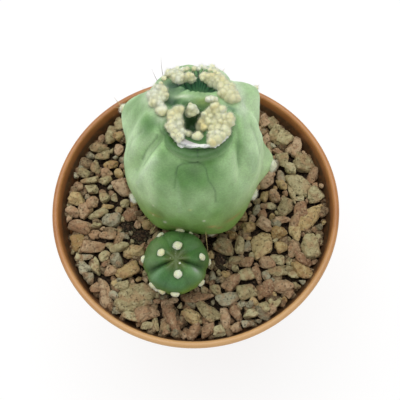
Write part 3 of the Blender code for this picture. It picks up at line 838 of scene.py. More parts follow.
@dataclass(frozen=True)
class Viewpoint:
    """Where the photograph was taken from: above the rim, in front and close."""

    distance: float = 0.250
    elevation: float = 68.62
    roll: float = -4.57
    aim: tuple[float, float, float] = (0.00193, 0.00088, 0.085)
    focal_pixels: float = 683.7
    image_pixels: float = 400.0
    sensor: float = 36.0
    clip: Pair = (0.01, 10.0)

    def axes(self) -> tuple[np.ndarray, ...]:
        """The camera's right, its up, and the direction back from the plant to it."""
        rise, roll = math.radians(self.elevation), math.radians(self.roll)
        right = np.array((1.0, 0.0, 0.0))
        up = np.array((0.0, math.sin(rise), math.cos(rise)))
        back = np.array((0.0, -math.cos(rise), math.sin(rise)))
        return (right * math.cos(roll) + up * math.sin(roll),
                up * math.cos(roll) - right * math.sin(roll), back)

    def place(self, across: float, down: float, height: float) -> np.ndarray:
        """The place that a pixel of the photograph shows, if it lies at a height.

        Args:
            across: Pixels from the photograph's left edge.
            down: Pixels from its top edge.
            height: The place's height in metres.

        Returns:
            Its x and y in metres.
        """
        right, up, back = self.axes()
        middle = self.image_pixels / 2.0
        ray = (right * (across - middle) - up * (down - middle)) / self.focal_pixels - back
        eye = np.array(self.aim) + back * self.distance
        return (eye + ray * (height - eye[2]) / ray[2])[:2]

    def make(self) -> None:
        """Make the camera and give it to the scene."""
        right, up, back = self.axes()
        lens = bpy.data.cameras.new("camera")
        lens.sensor_width = self.sensor
        lens.lens = self.focal_pixels * self.sensor / self.image_pixels
        lens.clip_start, lens.clip_end = self.clip
        camera = linked("camera", lens)
        pose = Matrix((right, up, back)).transposed().to_4x4()
        pose.translation = np.array(self.aim) + back * self.distance
        camera.matrix_world = pose
        bpy.context.scene.camera = camera


@dataclass(frozen=True)
class Studio:
    """A white table under one large soft lamp and an even white surround."""

    table_size: float = 60.0
    surround: float = 0.36
    lamp_size: float = 0.9
    lamp_power: float = 6.6
    lamp_place: tuple[float, float, float] = (-0.06, 0.26, 0.95)
    fill_size: float = 0.5
    fill_power: float = 0.5
    fill_place: tuple[float, float, float] = (0.45, -0.5, 0.6)

    def lamp(self, name: str, size: float, power: float, place: Sequence[float]) -> None:
        """Hang a square lamp that faces the plant.

        Args:
            name: The lamp's name.
            size: Length of its side.
            power: Its power in watts.
            place: Where it hangs.
        """
        light = bpy.data.lights.new(name, "AREA")
        light.size = size
        light.energy = power
        lamp = linked(name, light)
        lamp.location = place
        aim = Vector((0.0, 0.0, POT_TOP)) - Vector(place)
        lamp.rotation_euler = aim.to_track_quat("-Z", "Y").to_euler()

    def make(self) -> None:
        """Make the table, the lamps and the surround."""
        half = self.table_size / 2.0
        corners = np.array([(-half, -half, 0), (half, -half, 0), (half, half, 0), (-half, half, 0)])
        table = mesh_object("table", corners, [(0, 1, 2, 3)])
        table.data.materials.append(FloorFinish().make())
        self.lamp("soft_lamp", self.lamp_size, self.lamp_power, self.lamp_place)
        self.lamp("fill_lamp", self.fill_size, self.fill_power, self.fill_place)
        world = bpy.data.worlds.new("surround")
        world.use_nodes = True
        sky = world.node_tree.nodes["Background"]
        sky.inputs["Color"].default_value = opaque((1.0, 1.0, 1.0))
        sky.inputs["Strength"].default_value = self.surround
        bpy.context.scene.world = world
        bpy.context.scene.view_settings.view_transform = "Standard"


# Pot and fill

@dataclass
class Pot:
    """The round nursery pot: tapered wall, band under a rolled lip, foot ring and drain holes."""

    sides: int = 160
    lip: float = 2.4 * MM
    band: float = 9.0 * MM
    band_taper: float = 1.3 * MM
    wall: float = 1.6 * MM
    wall_top: float = 49.2 * MM
    foot: float = 37.0 * MM
    ring_width: float = 4.0 * MM
    ring_height: float = 2.0 * MM
    ring_slope: float = 1.0 * MM
    floor: float = 2.0 * MM
    drains: int = 6
    drain_radius: float = 3.5 * MM
    drain_circle: float = 25.0 * MM
    softening: float = 0.35 * MM
    crease: float = 38.0
    # How far the inside swells, and how far under the rim it does.
    flare: tuple[Pair, ...] = ((2.5, 2.2), (2.1, 3.6), (1.7, 5.2), (1.0, 7.4))

    def wall_radius(self, height: float) -> float:
        """Outer radius of the tapered wall at a height."""
        return self.foot + (self.wall_top - self.foot) * height / (POT_TOP - self.band)

    def inner_radius(self, height: float) -> float:
        """Inner radius of the pot at a height."""
        swell = np.interp((POT_TOP - height) / MM, [down for _, down in self.flare],
                          [swell for swell, _ in self.flare], right=0.0)
        return self.wall_radius(min(height, POT_TOP - self.band)) - self.wall + float(swell) * MM

    def profile(self) -> list[Pair]:
        """The pot's outline as radius and height, from the middle of the foot round to the floor."""
        band_bottom = POT_TOP - self.band
        floor_top = self.ring_height + self.floor
        half = self.lip / 2.0
        roll = [(POT_RADIUS - half + half * math.cos(math.radians(turn)),
                 POT_TOP - half + half * math.sin(math.radians(turn)))
                for turn in range(-60, 151, 15)]
        ring = self.foot - self.ring_width
        soft = self.softening
        return [
            (0.0, self.ring_height),
            (ring - self.ring_slope, self.ring_height),
            (ring, 0.0),
            (self.foot - soft, 0.0),
            (self.foot, soft),
            (self.wall_radius(band_bottom) - soft, band_bottom - soft),
            (self.wall_radius(band_bottom), band_bottom),
            (POT_RADIUS - self.band_taper - soft, band_bottom),
            (POT_RADIUS - self.band_taper, band_bottom + soft),
            *roll,
            *((self.inner_radius(band_bottom) + swell * MM, POT_TOP - down * MM)
              for swell, down in self.flare),
            (self.inner_radius(band_bottom), band_bottom),
            (self.inner_radius(floor_top), floor_top),
            (0.0, floor_top),
        ]

    def lathe(self, material: bpy.types.Material) -> GeometryWriter:
        """The tree that turns the outline round and drills the drain holes.

        Args:
            material: The pot's finish.

        Returns:
            The tree, ready to apply to the outline's points.
        """
        tree = GeometryWriter("pot lathe")
        sides = tree.given("Sides", self.sides)
        drain_count = tree.given("Drain Holes", self.drains)
        drain_radius = tree.given("Drain Radius", self.drain_radius)
        drain_circle = tree.given("Drain Circle", self.drain_circle)
        outline = tree.entry.outputs["Geometry"]
        size = tree.add("GeometryNodeAttributeDomainSize", {"Geometry": outline})
        count = size.outputs["Point Count"]
        columns = tree.math("ADD", sides, 1.0)
        sheet = tree.add("GeometryNodeMeshGrid", {"Size X": 1.0, "Size Y": 1.0,
                                                  "Vertices X": columns, "Vertices Y": count})
        index = tree.add("GeometryNodeInputIndex")
        column = tree.math("FLOOR", tree.math("DIVIDE", tree.math("ADD", index, 0.5), count))
        row = tree.math("SUBTRACT", index, tree.math("MULTIPLY", column, count))
        turn = tree.math("DIVIDE", tree.math("MULTIPLY", column, math.tau), sides)
        sample = tree.add("GeometryNodeSampleIndex", {"Geometry": outline, "Index": row},
                          data_type="FLOAT_VECTOR")
        tree.feed(sample.inputs["Value"], tree.add("GeometryNodeInputPosition"))
        point = tree.add("ShaderNodeSeparateXYZ", {0: sample})
        x = tree.math("MULTIPLY", point.outputs[0], tree.math("COSINE", turn))
        y = tree.math("MULTIPLY", point.outputs[0], tree.math("SINE", turn))
        place = tree.add("ShaderNodeCombineXYZ", {0: x, 1: y, 2: point.outputs[2]})
        turned = tree.add("GeometryNodeSetPosition", {"Geometry": sheet, "Position": place})
        joined = tree.add("GeometryNodeMergeByDistance", {"Geometry": turned, "Distance": 0.001 * MM})
        ring = tree.add("GeometryNodeMeshCircle", {"Vertices": drain_count, "Radius": drain_circle})
        drill = tree.add("GeometryNodeMeshCylinder", {"Vertices": 40, "Radius": drain_radius,
                                                      "Depth": 4.0 * (self.floor + self.ring_height)})
        drills = tree.add("GeometryNodeInstanceOnPoints", {"Points": ring, "Instance": drill})
        flipped = tree.add("GeometryNodeFlipFaces", {"Mesh": joined})
        bored = tree.add("GeometryNodeMeshBoolean", {"Mesh 1": flipped, "Mesh 2": drills},
                         operation="DIFFERENCE", solver="EXACT")
        tree.finish(bored, material)
        return tree

    def make(self) -> None:
        """Turn the pot and dress it."""
        points = np.array([(radius, 0.0, height) for radius, height in self.profile()])
        pot = mesh_object("pot_shell", points, [])
        self.lathe(PotFinish().make()).apply(pot)
        shape = bmesh.new()
        shape.from_mesh(pot.data)
        bmesh.ops.recalc_face_normals(shape, faces=shape.faces)
        shape.to_mesh(pot.data)
        shape.free()
        pot.data.shade_smooth()
        pot.data.set_sharp_from_angle(angle=math.radians(self.crease))
        dress(pot, "pot")


@dataclass
class Stones:
    """The lava dressing: large stones laid close together, smaller ones between, dark grit below."""

    pot: Pot
    count: int = 420
    lower_count: int = 230
    small: float = 0.9 * MM
    large: float = 2.5 * MM
    crowding: float = 1.18
    swell: float = 1.13
    size_lean: Pair = (1.4, 2.2)
    lengths: Pair = (1.0, 1.3)
    widths: Pair = (0.85, 1.05)
    heights: Pair = (0.75, 1.0)
    thinnest: float = 0.9 * MM
    thickest: float = 2.7 * MM
    overlap: float = 1.04
    tilt: float = 0.22
    unevenness: Pair = (-0.6, 1.0)
    wall_gap: float = 0.3 * MM
    laid_gap: float = 0.2 * MM
    tries: int = 900
    least: float = 0.75
    level: float = GROUND - 0.9 * MM
    small_level: float = GROUND - 0.9 * MM - 0.5 * MM
    lower_level: float = GROUND - 2.1 * MM
    rise: float = 0.9 * MM
    highest: float = POT_TOP - 0.6 * MM
    bed_level: float = GROUND - 3.5 * MM
    bed_rings: int = 76
    bed_columns: int = 190
    mound: float = 3.0 * MM
    shapes: int = 20
    cuts: int = 12
    cut_depths: Pair = (0.6, 1.0)
    edge: float = 9.0
    bulge: float = 1.3
    rough: Pair = (0.06, 0.04)
    ring_reach: float = 0.85
    ring_size: float = 0.84
    seen_level: float = 80.4 * MM
    seed: int = 23
    # Circles left free of stones: the stems first, then the gaps beside them.
    keep_out: Rows = (
        (-0.3, 8.6, 18.4), (-8.4, -21.6, 10.6), (4.6, -14.5, 2.7), (7.2, -20.6, 2.4), (-20.6, -9.0, 3.0),
        (-25.4, -5.0, 2.2))

    def places(self, count: int, rings: list[tuple[float, float, float]], random: Draws) -> np.ndarray:
        """Set stones one by one where each fits most tightly.

        Args:
            count: How many stones at most.
            rings: Circles that are taken already, in metres.
            random: Source of the draws.

        Returns:
            Rows of x, y, half length, half width and turn.
        """
        wall = self.pot.inner_radius(self.level) - self.wall_gap
        taken, rows = list(rings), []
        while len(rows) < count:
            size = self.small + (self.large - self.small) * random.beta(*self.size_lean)
            turn = random.uniform(0.0, math.tau, self.tries)
            out = (wall - self.small) * np.sqrt(random.uniform(0.0, 1.0, self.tries))
            x, y = out * np.cos(turn), out * np.sin(turn)
            placed = np.array(taken)
            room = np.hypot(x[:, None] - placed[:, 0], y[:, None] - placed[:, 1]) - placed[:, 2]
            room = np.minimum(room.min(axis=1), wall - out)
            fits = np.flatnonzero(room >= size)
            best = fits[np.argmin(room[fits])] if len(fits) else np.argmax(room)
            size = min(size, room[best])
            if size < self.small * self.least:
                break
            taken.append((x[best], y[best], size))
            swell = size * self.crowding
            rows.append((x[best], y[best], swell * random.uniform(*self.lengths),
                         swell * random.uniform(*self.widths), random.uniform(0.0, 180.0)))
        return np.array(rows)

    def laid(self, family: Family) -> np.ndarray:
        """The large stones of one family, where the photograph shows them, clear of the pot's wall.

        Args:
            family: The family.

        Returns:
            Rows of x, y, half length, half width and turn.
        """
        view, found, swell = Viewpoint(), [], self.swell * MM
        for across, down, length, width, turn in SEEN[family]:
            cosine, sine = math.cos(math.radians(turn)), math.sin(math.radians(turn))
            middle = view.place(across, down, self.seen_level)
            tip = view.place(across + length * cosine, down - length * sine, self.seen_level) - middle
            side = view.place(across - width * sine, down - width * cosine, self.seen_level) - middle
            # The photograph shows no more than tenths of a millimetre and whole degrees.
            tenths = (round(size / MM, 1) for size in (*middle, np.hypot(*tip), np.hypot(*side)))
            turned = round(math.degrees(math.atan2(tip[1], tip[0])))
            found.append((*tenths, (turned + 90) % 180 - 90))
        rows = np.array(found) * (MM, MM, swell, swell, 1.0)
        out = np.hypot(rows[:, 0], rows[:, 1])
        aside = np.radians(rows[:, 4]) - np.arctan2(rows[:, 1], rows[:, 0])
        extent = np.hypot(rows[:, 2] * np.cos(aside), rows[:, 3] * np.sin(aside))
        over = np.clip(out + extent - self.pot.inner_radius(self.level) + self.laid_gap, 0.0, None)
        rows[:, :2] *= (1.0 - over / out)[:, None]
        return rows

    def rings(self, rows: np.ndarray) -> list[tuple[float, float, float]]:
        """Three circles that fill each large stone's outline."""
        found = []
        for x, y, length, width, turn in rows:
            reach = (length - width) * self.ring_reach
            along = np.array((math.cos(math.radians(turn)), math.sin(math.radians(turn)))) * reach
            found += [(x + along[0] * side, y + along[1] * side, width * self.ring_size)
                      for side in (-1, 0, 1)]
        return found

    def shape(self, level: int, random: Draws) -> tuple[np.ndarray, list[list[int]]]:
        """One blocky stone: a ball cut by planes, with rounded edges and a rough face.

        Args:
            level: How finely it is divided.
            random: Source of the draws.

        Returns:
            Its points, one unit to each side, and its faces.
        """
        points, faces = ball(level)
        cuts = scattered(self.cuts, random)
        depths = random.uniform(*self.cut_depths, self.cuts)
        facing = np.clip(points @ cuts.T / depths, 0.0, None)
        reach = np.minimum(np.sum(facing ** self.edge, axis=1) ** (-1.0 / self.edge), self.bulge)
        broad = waves(points, 0.55, 14, int(random.integers(1000000)))
        fine = waves(points, 0.2, 20, int(random.integers(1000000)))
        points = points * (reach * (1.0 + self.rough[0] * broad + self.rough[1] * fine))[:, None]
        return points / np.abs(points).max(axis=0), faces

    def tree(self, name: str, shapes: bpy.types.Collection, material: bpy.types.Material
             ) -> GeometryWriter:
        """The tree that sets one of the shapes on each point.

        Args:
            name: The tree's name.
            shapes: The collection of shapes.
            material: Their finish.

        Returns:
            The tree, ready to apply.
        """
        tree = GeometryWriter(name)
        stock = tree.given("Shapes", shapes)
        swell = tree.given("Swell", 1.0)
        chosen = tree.add("GeometryNodeCollectionInfo", {"Collection": stock, "Separate Children": True,
                                                         "Reset Children": True})
        turn = tree.add("FunctionNodeEulerToRotation", {0: tree.named("turn", "FLOAT_VECTOR")})
        girth = tree.add("ShaderNodeVectorMath", {0: tree.named("girth", "FLOAT_VECTOR"), "Scale": swell},
                         operation="SCALE")
        stones = tree.add("GeometryNodeInstanceOnPoints", {
            "Points": tree.entry.outputs["Geometry"], "Instance": chosen, "Pick Instance": True,
            "Instance Index": tree.named("shape", "INT"), "Rotation": turn, "Scale": girth})
        tree.finish(stones, material)
        return tree

    def scatter(self, name: str, rows: np.ndarray, level: float, shapes: bpy.types.Collection,
                material: bpy.types.Material, random: Draws) -> None:
        """Make one piece of many stones.

        Args:
            name: The piece's name.
            rows: x, y, half length, half width and turn of each stone.
            level: Height that the stones' middles lie around.
            shapes: The collection of shapes.
            material: Their finish.
            random: Source of the draws.
        """
        count = len(rows)
        tall = np.clip(rows[:, 3] * random.uniform(*self.heights, count), self.thinnest, self.thickest)
        girth = np.column_stack((rows[:, 2:4], tall)) * self.overlap
        turn = random.uniform((-self.tilt, -self.tilt, 0.0), (self.tilt, self.tilt, 0.0), (count, 3))
        turn[:, 2] = np.radians(rows[:, 4])
        height = level + random.uniform(*self.unevenness, count) * self.rise
        height = np.minimum(height, self.highest - tall * 1.2)
        stones = mesh_object(name, np.column_stack((rows[:, :2], height)), [])
        keep(stones, "girth", girth, "FLOAT_VECTOR")
        keep(stones, "turn", turn, "FLOAT_VECTOR")
        keep(stones, "tint", random.uniform(0.0, 1.0, count))
        keep(stones, "shape", random.integers(0, self.shapes, count), "INT")
        self.tree(f"{name} scatter", shapes, material).apply(stones)
        stones.data.shade_smooth()
        dress(stones, "gravel")

    def stock(self, level: int, random: Draws) -> bpy.types.Collection:
        """A collection of different stone shapes.

        Args:
            level: How finely each is divided.
            random: Source of the draws.

        Returns:
            The collection, linked to the scene.
        """
        shapes = bpy.data.collections.new("stone shapes")
        bpy.context.scene.collection.children.link(shapes)
        for number in range(self.shapes):
            points, faces = self.shape(level, random)
            piece = mesh_object(f"stone_shape_{number:02d}", points, faces)
            bpy.context.scene.collection.objects.unlink(piece)
            shapes.objects.link(piece)
        return shapes

    def clear(self, shapes: bpy.types.Collection) -> None:
        """Remove a collection of shapes with its objects."""
        for piece in list(shapes.objects):
            bpy.data.objects.remove(piece)
        bpy.data.collections.remove(shapes)

    def bed(self) -> None:
        """The dark grit under the stones: a closed slab, crumbly on top, heaped where it lies open."""
        share = np.linspace(1.0, 0.02, self.bed_rings)
        angles = np.linspace(0.0, math.tau, self.bed_columns, endpoint=False)
        edge = self.pot.inner_radius(GRAVEL_BOTTOM) - 0.4 * MM
        x = edge * share[:, None] * np.cos(angles)
        y = edge * share[:, None] * np.sin(angles)
        flat = np.stack((x, y, np.zeros_like(x)), axis=-1)
        crumbs = 0.5 * waves(flat, 1.8 * MM, 20, 4) + 0.4 * waves(flat, 1.0 * MM, 24, 5)
        heap = np.zeros_like(x)
        for across, back, reach in self.keep_out[3:]:
            heap = np.maximum(heap, bell(np.hypot(x - across * MM, y - back * MM) / (reach * 1.4 * MM)))
        top = self.bed_level + self.mound * heap + 0.8 * MM * crumbs
        upper = np.stack((x, y, top), axis=-1)
        low = np.stack((x[:1], y[:1], np.full_like(x[:1], GRAVEL_BOTTOM)), axis=-1)
        rows = np.concatenate((low, upper)).reshape(-1, 3)
        poles = np.array([(0, 0, GRAVEL_BOTTOM), (0, 0, self.bed_level)])
        faces = skin_faces(self.bed_rings + 1, self.bed_columns)
        bed = mesh_object("grit_bed", np.concatenate((rows, poles)), faces)
        bed.data.materials.append(SoilFinish("dark grit").make())
        dress(bed, "gravel")

    def make(self) -> None:
        """Lay the bed and all the stones."""
        random = np.random.default_rng(self.seed)
        self.bed()
        families = list(Family)
        taken = [(x * MM, y * MM, reach * MM) for x, y, reach in self.keep_out]
        coarse, fine = self.stock(3, random), self.stock(4, random)
        lower = self.places(self.lower_count, taken, random)
        brown = StoneFinish("lower lava stone", linear(160, 138, 106), linear(130, 108, 82),
                            linear(96, 78, 58))
        self.scatter("gravel_lower", lower, self.lower_level, coarse, brown.make(), random)
        for family in families:
            taken += self.rings(self.laid(family))
        between = self.places(self.count, taken, random)
        picks = random.choice(len(families), len(between), p=[family.share for family in families])
        finishes = {
            Family.ROSE: (linear(198, 171, 138), linear(174, 145, 113), linear(147, 113, 86)),
            Family.OLIVE: (linear(197, 188, 148), linear(176, 164, 123), linear(146, 131, 96)),
            Family.OCHRE: (linear(205, 184, 136), linear(187, 162, 113), linear(158, 129, 83)),
            Family.GREY: (linear(180, 175, 148), linear(153, 147, 122), linear(125, 116, 93)),
        }
        for number, family in enumerate(families):
            finish = StoneFinish(f"{family.title} lava stone", *finishes[family]).make()
            self.scatter(f"gravel_{family.title}", self.laid(family), self.level, fine, finish, random)
            self.scatter(f"gravel_{family.title}_small", between[picks == number],
                         self.small_level, coarse, finish, random)
        self.clear(coarse)
        self.clear(fine)


@dataclass
class Crumbs:
    """Loose dark grit in the two gaps between the stems and the stones."""

    # Across, back and radius of each gap.
    patches: Rows = (
        (7.6, -21.0, 3.2), (-20.4, -9.0, 3.6), (-16.6, -12.4, 2.2), (-25.4, -5.2, 2.6))
    count: int = 700
    small: float = 0.2 * MM
    large: float = 0.62 * MM
    level: float = GROUND - 1.9 * MM
    heap: Pair = (-0.8, 0.6)
    flatness: float = 0.7
    seed: int = 31

    def make(self) -> None:
        """Scatter the crumbs with Geometry Nodes and dress them."""
        random = np.random.default_rng(self.seed)
        home = random.integers(0, len(self.patches), self.count)
        patch = np.array(self.patches)[home] * MM
        out = patch[:, 2] * np.sqrt(random.uniform(0.0, 1.0, self.count))
        turn = random.uniform(0.0, math.tau, self.count)
        height = self.level + random.uniform(*self.heap, self.count) * MM
        points = np.column_stack((patch[:, 0] + out * np.cos(turn), patch[:, 1] + out * np.sin(turn),
                                  height))
        crumbs = mesh_object("grit_crumbs", points, [])
        tree = GeometryWriter("crumb scatter")
        small = tree.given("Smallest", self.small)
        large = tree.given("Largest", self.large)
        flatness = tree.given("Flatness", self.flatness)
        seed = tree.given("Seed", self.seed)
        crumb = tree.add("GeometryNodeMeshIcoSphere", {"Radius": 1.0, "Subdivisions": 1})
        size = tree.add("FunctionNodeRandomValue", {2: small, 3: large, "Seed": seed}, data_type="FLOAT")
        flat = tree.add("ShaderNodeCombineXYZ", {0: size.outputs[1], 1: size.outputs[1],
                                                 2: tree.math("MULTIPLY", size.outputs[1], flatness)})
        spin = tree.add("FunctionNodeRandomValue", {0: (0, 0, 0), 1: (math.tau,) * 3, "Seed": seed},
                        data_type="FLOAT_VECTOR")
        turned = tree.add("FunctionNodeEulerToRotation", {0: spin.outputs[0]})
        grains = tree.add("GeometryNodeInstanceOnPoints", {
            "Points": tree.entry.outputs["Geometry"], "Instance": crumb, "Rotation": turned, "Scale": flat})
        grit = SoilFinish("loose grit", dark=linear(58, 54, 40), warm=linear(104, 96, 72))
        tree.finish(grains, grit.make())
        tree.apply(crumbs)
        dress(crumbs, "gravel")


# Stems

@dataclass(frozen=True)
class Barrel:
    """A squarish barrel round an upright axis that may lean."""

    foot: Pair
    lean: Pair
    radius: float
    waist: float
    rise: float
    root: float
    squareness: Pair
    lean_height: float

    def section(self, latitude: np.ndarray) -> tuple[np.ndarray, ...]:
        """The barrel's outline at latitudes.

        Args:
            latitude: Latitudes in degrees, 0 at the waist.

        Returns:
            Radius, height, and the outward direction's two parts.
        """
        angle = np.radians(latitude)
        square = np.where(angle > 0, self.squareness[1], self.squareness[0])
        reach = np.where(angle > 0, self.rise, self.root)
        across = np.clip(np.cos(angle), 0.0, 1.0) ** (2.0 / square)
        upward = np.sign(angle) * np.abs(np.sin(angle)) ** (2.0 / square)
        out = across ** (square - 1.0) / self.radius
        up = np.sign(angle) * np.abs(upward) ** (square - 1.0) / reach
        length = np.hypot(out, up)
        return self.radius * across, self.waist + reach * upward, out / length, up / length

    def stand(self, turn: np.ndarray, reach: np.ndarray, level: np.ndarray, out: np.ndarray, up: np.ndarray
              ) -> Arrays:
        """Set points of the skin round the leaning axis.

        Args:
            turn: Their turns about the axis, in radians.
            reach: Their distances from it.
            level: Their heights above the ground.
            out: The outward part of each one's direction.
            up: The upward part of each one's direction.

        Returns:
            The points and their outward directions.
        """
        lean = level / self.lean_height
        x = self.foot[0] + self.lean[0] * lean + reach * np.cos(turn)
        y = self.foot[1] + self.lean[1] * lean + reach * np.sin(turn)
        points = np.stack(np.broadcast_arrays(x, y, GROUND + level), axis=-1)
        normals = np.stack(np.broadcast_arrays(out * np.cos(turn), out * np.sin(turn), up), axis=-1)
        return points, normals

    def latitude_of_height(self, height: float) -> float:
        """Latitude of the flank at a height.

        Args:
            height: Height above the ground.

        Returns:
            The latitude in degrees.
        """
        above = height > self.waist
        share = (height - self.waist) / (self.rise if above else self.root)
        sine = math.copysign(abs(share) ** (self.squareness[above] / 2.0), share)
        return math.degrees(math.asin(sine))

    def latitude_of_radius(self, radius: float) -> float:
        """Latitude of the upper half at a radius."""
        return math.degrees(math.acos((radius / self.radius) ** (self.squareness[1] / 2.0)))

    def even_latitudes(self, step: float, low: float, high: float) -> np.ndarray:
        """Latitudes an even distance apart along the outline.

        Args:
            step: Distance between rings.
            low: First latitude in degrees.
            high: Last latitude in degrees.

        Returns:
            The latitudes.
        """
        fine = np.linspace(low, high, 6000)
        radius, height, _, _ = self.section(fine)
        travel = np.concatenate(([0.0], np.cumsum(np.hypot(np.diff(radius), np.diff(height)))))
        return np.interp(np.arange(0.0, travel[-1], step), travel, fine)


def dress_skin(name: str, points: np.ndarray, colours: np.ndarray, finish: SkinFinish, node: str) -> None:
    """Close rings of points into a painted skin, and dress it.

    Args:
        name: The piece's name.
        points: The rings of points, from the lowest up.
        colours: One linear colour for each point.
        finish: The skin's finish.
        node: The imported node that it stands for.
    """
    ended = [np.concatenate((rings.reshape(-1, 3), [rings[0].mean(axis=0), rings[-1].mean(axis=0)]))
             for rings in (points, np.clip(colours, 0.0, 1.0))]
    skin = mesh_object(name, ended[0], skin_faces(*points.shape[:2]))
    keep(skin, "paint", np.column_stack((ended[1], np.ones(len(ended[1])))), "FLOAT_COLOR")
    skin.data.materials.append(finish.make())
    dress(skin, node)


@dataclass(frozen=True)
class Oval:
    """An oval on the crown: centre and half sizes across it, and a turn in degrees."""

    centre: Pair
    size: Pair
    turn: float = 0.0

    def reach(self, place: Arrays) -> np.ndarray:
        """How far a place is from the centre, 1 on the oval."""
        angle = math.radians(self.turn)
        x, y = place[0] - self.centre[0] * MM, place[1] - self.centre[1] * MM
        along = (x * math.cos(angle) + y * math.sin(angle)) / (self.size[0] * MM)
        aside = (y * math.cos(angle) - x * math.sin(angle)) / (self.size[1] * MM)
        return np.hypot(along, aside)

    def bearing(self, place: Arrays) -> np.ndarray:
        """Direction in degrees of a place from the centre."""
        return np.degrees(np.arctan2(place[1] - self.centre[1] * MM, place[0] - self.centre[0] * MM))


@dataclass(frozen=True)
class Crease:
    """A line in the skin, pressed in or raised: places on the crown, then angles and heights."""

    crown: tuple[Pair, ...]
    flank: tuple[Pair, ...]
    width: float
    depth: float
    shade: float


@dataclass(frozen=True)
class Tuft:
    """One woolly tuft: its middle, its half sizes in millimetres and its outward direction."""

    place: Vector
    size: tuple[float, float, float]
    up: Vector


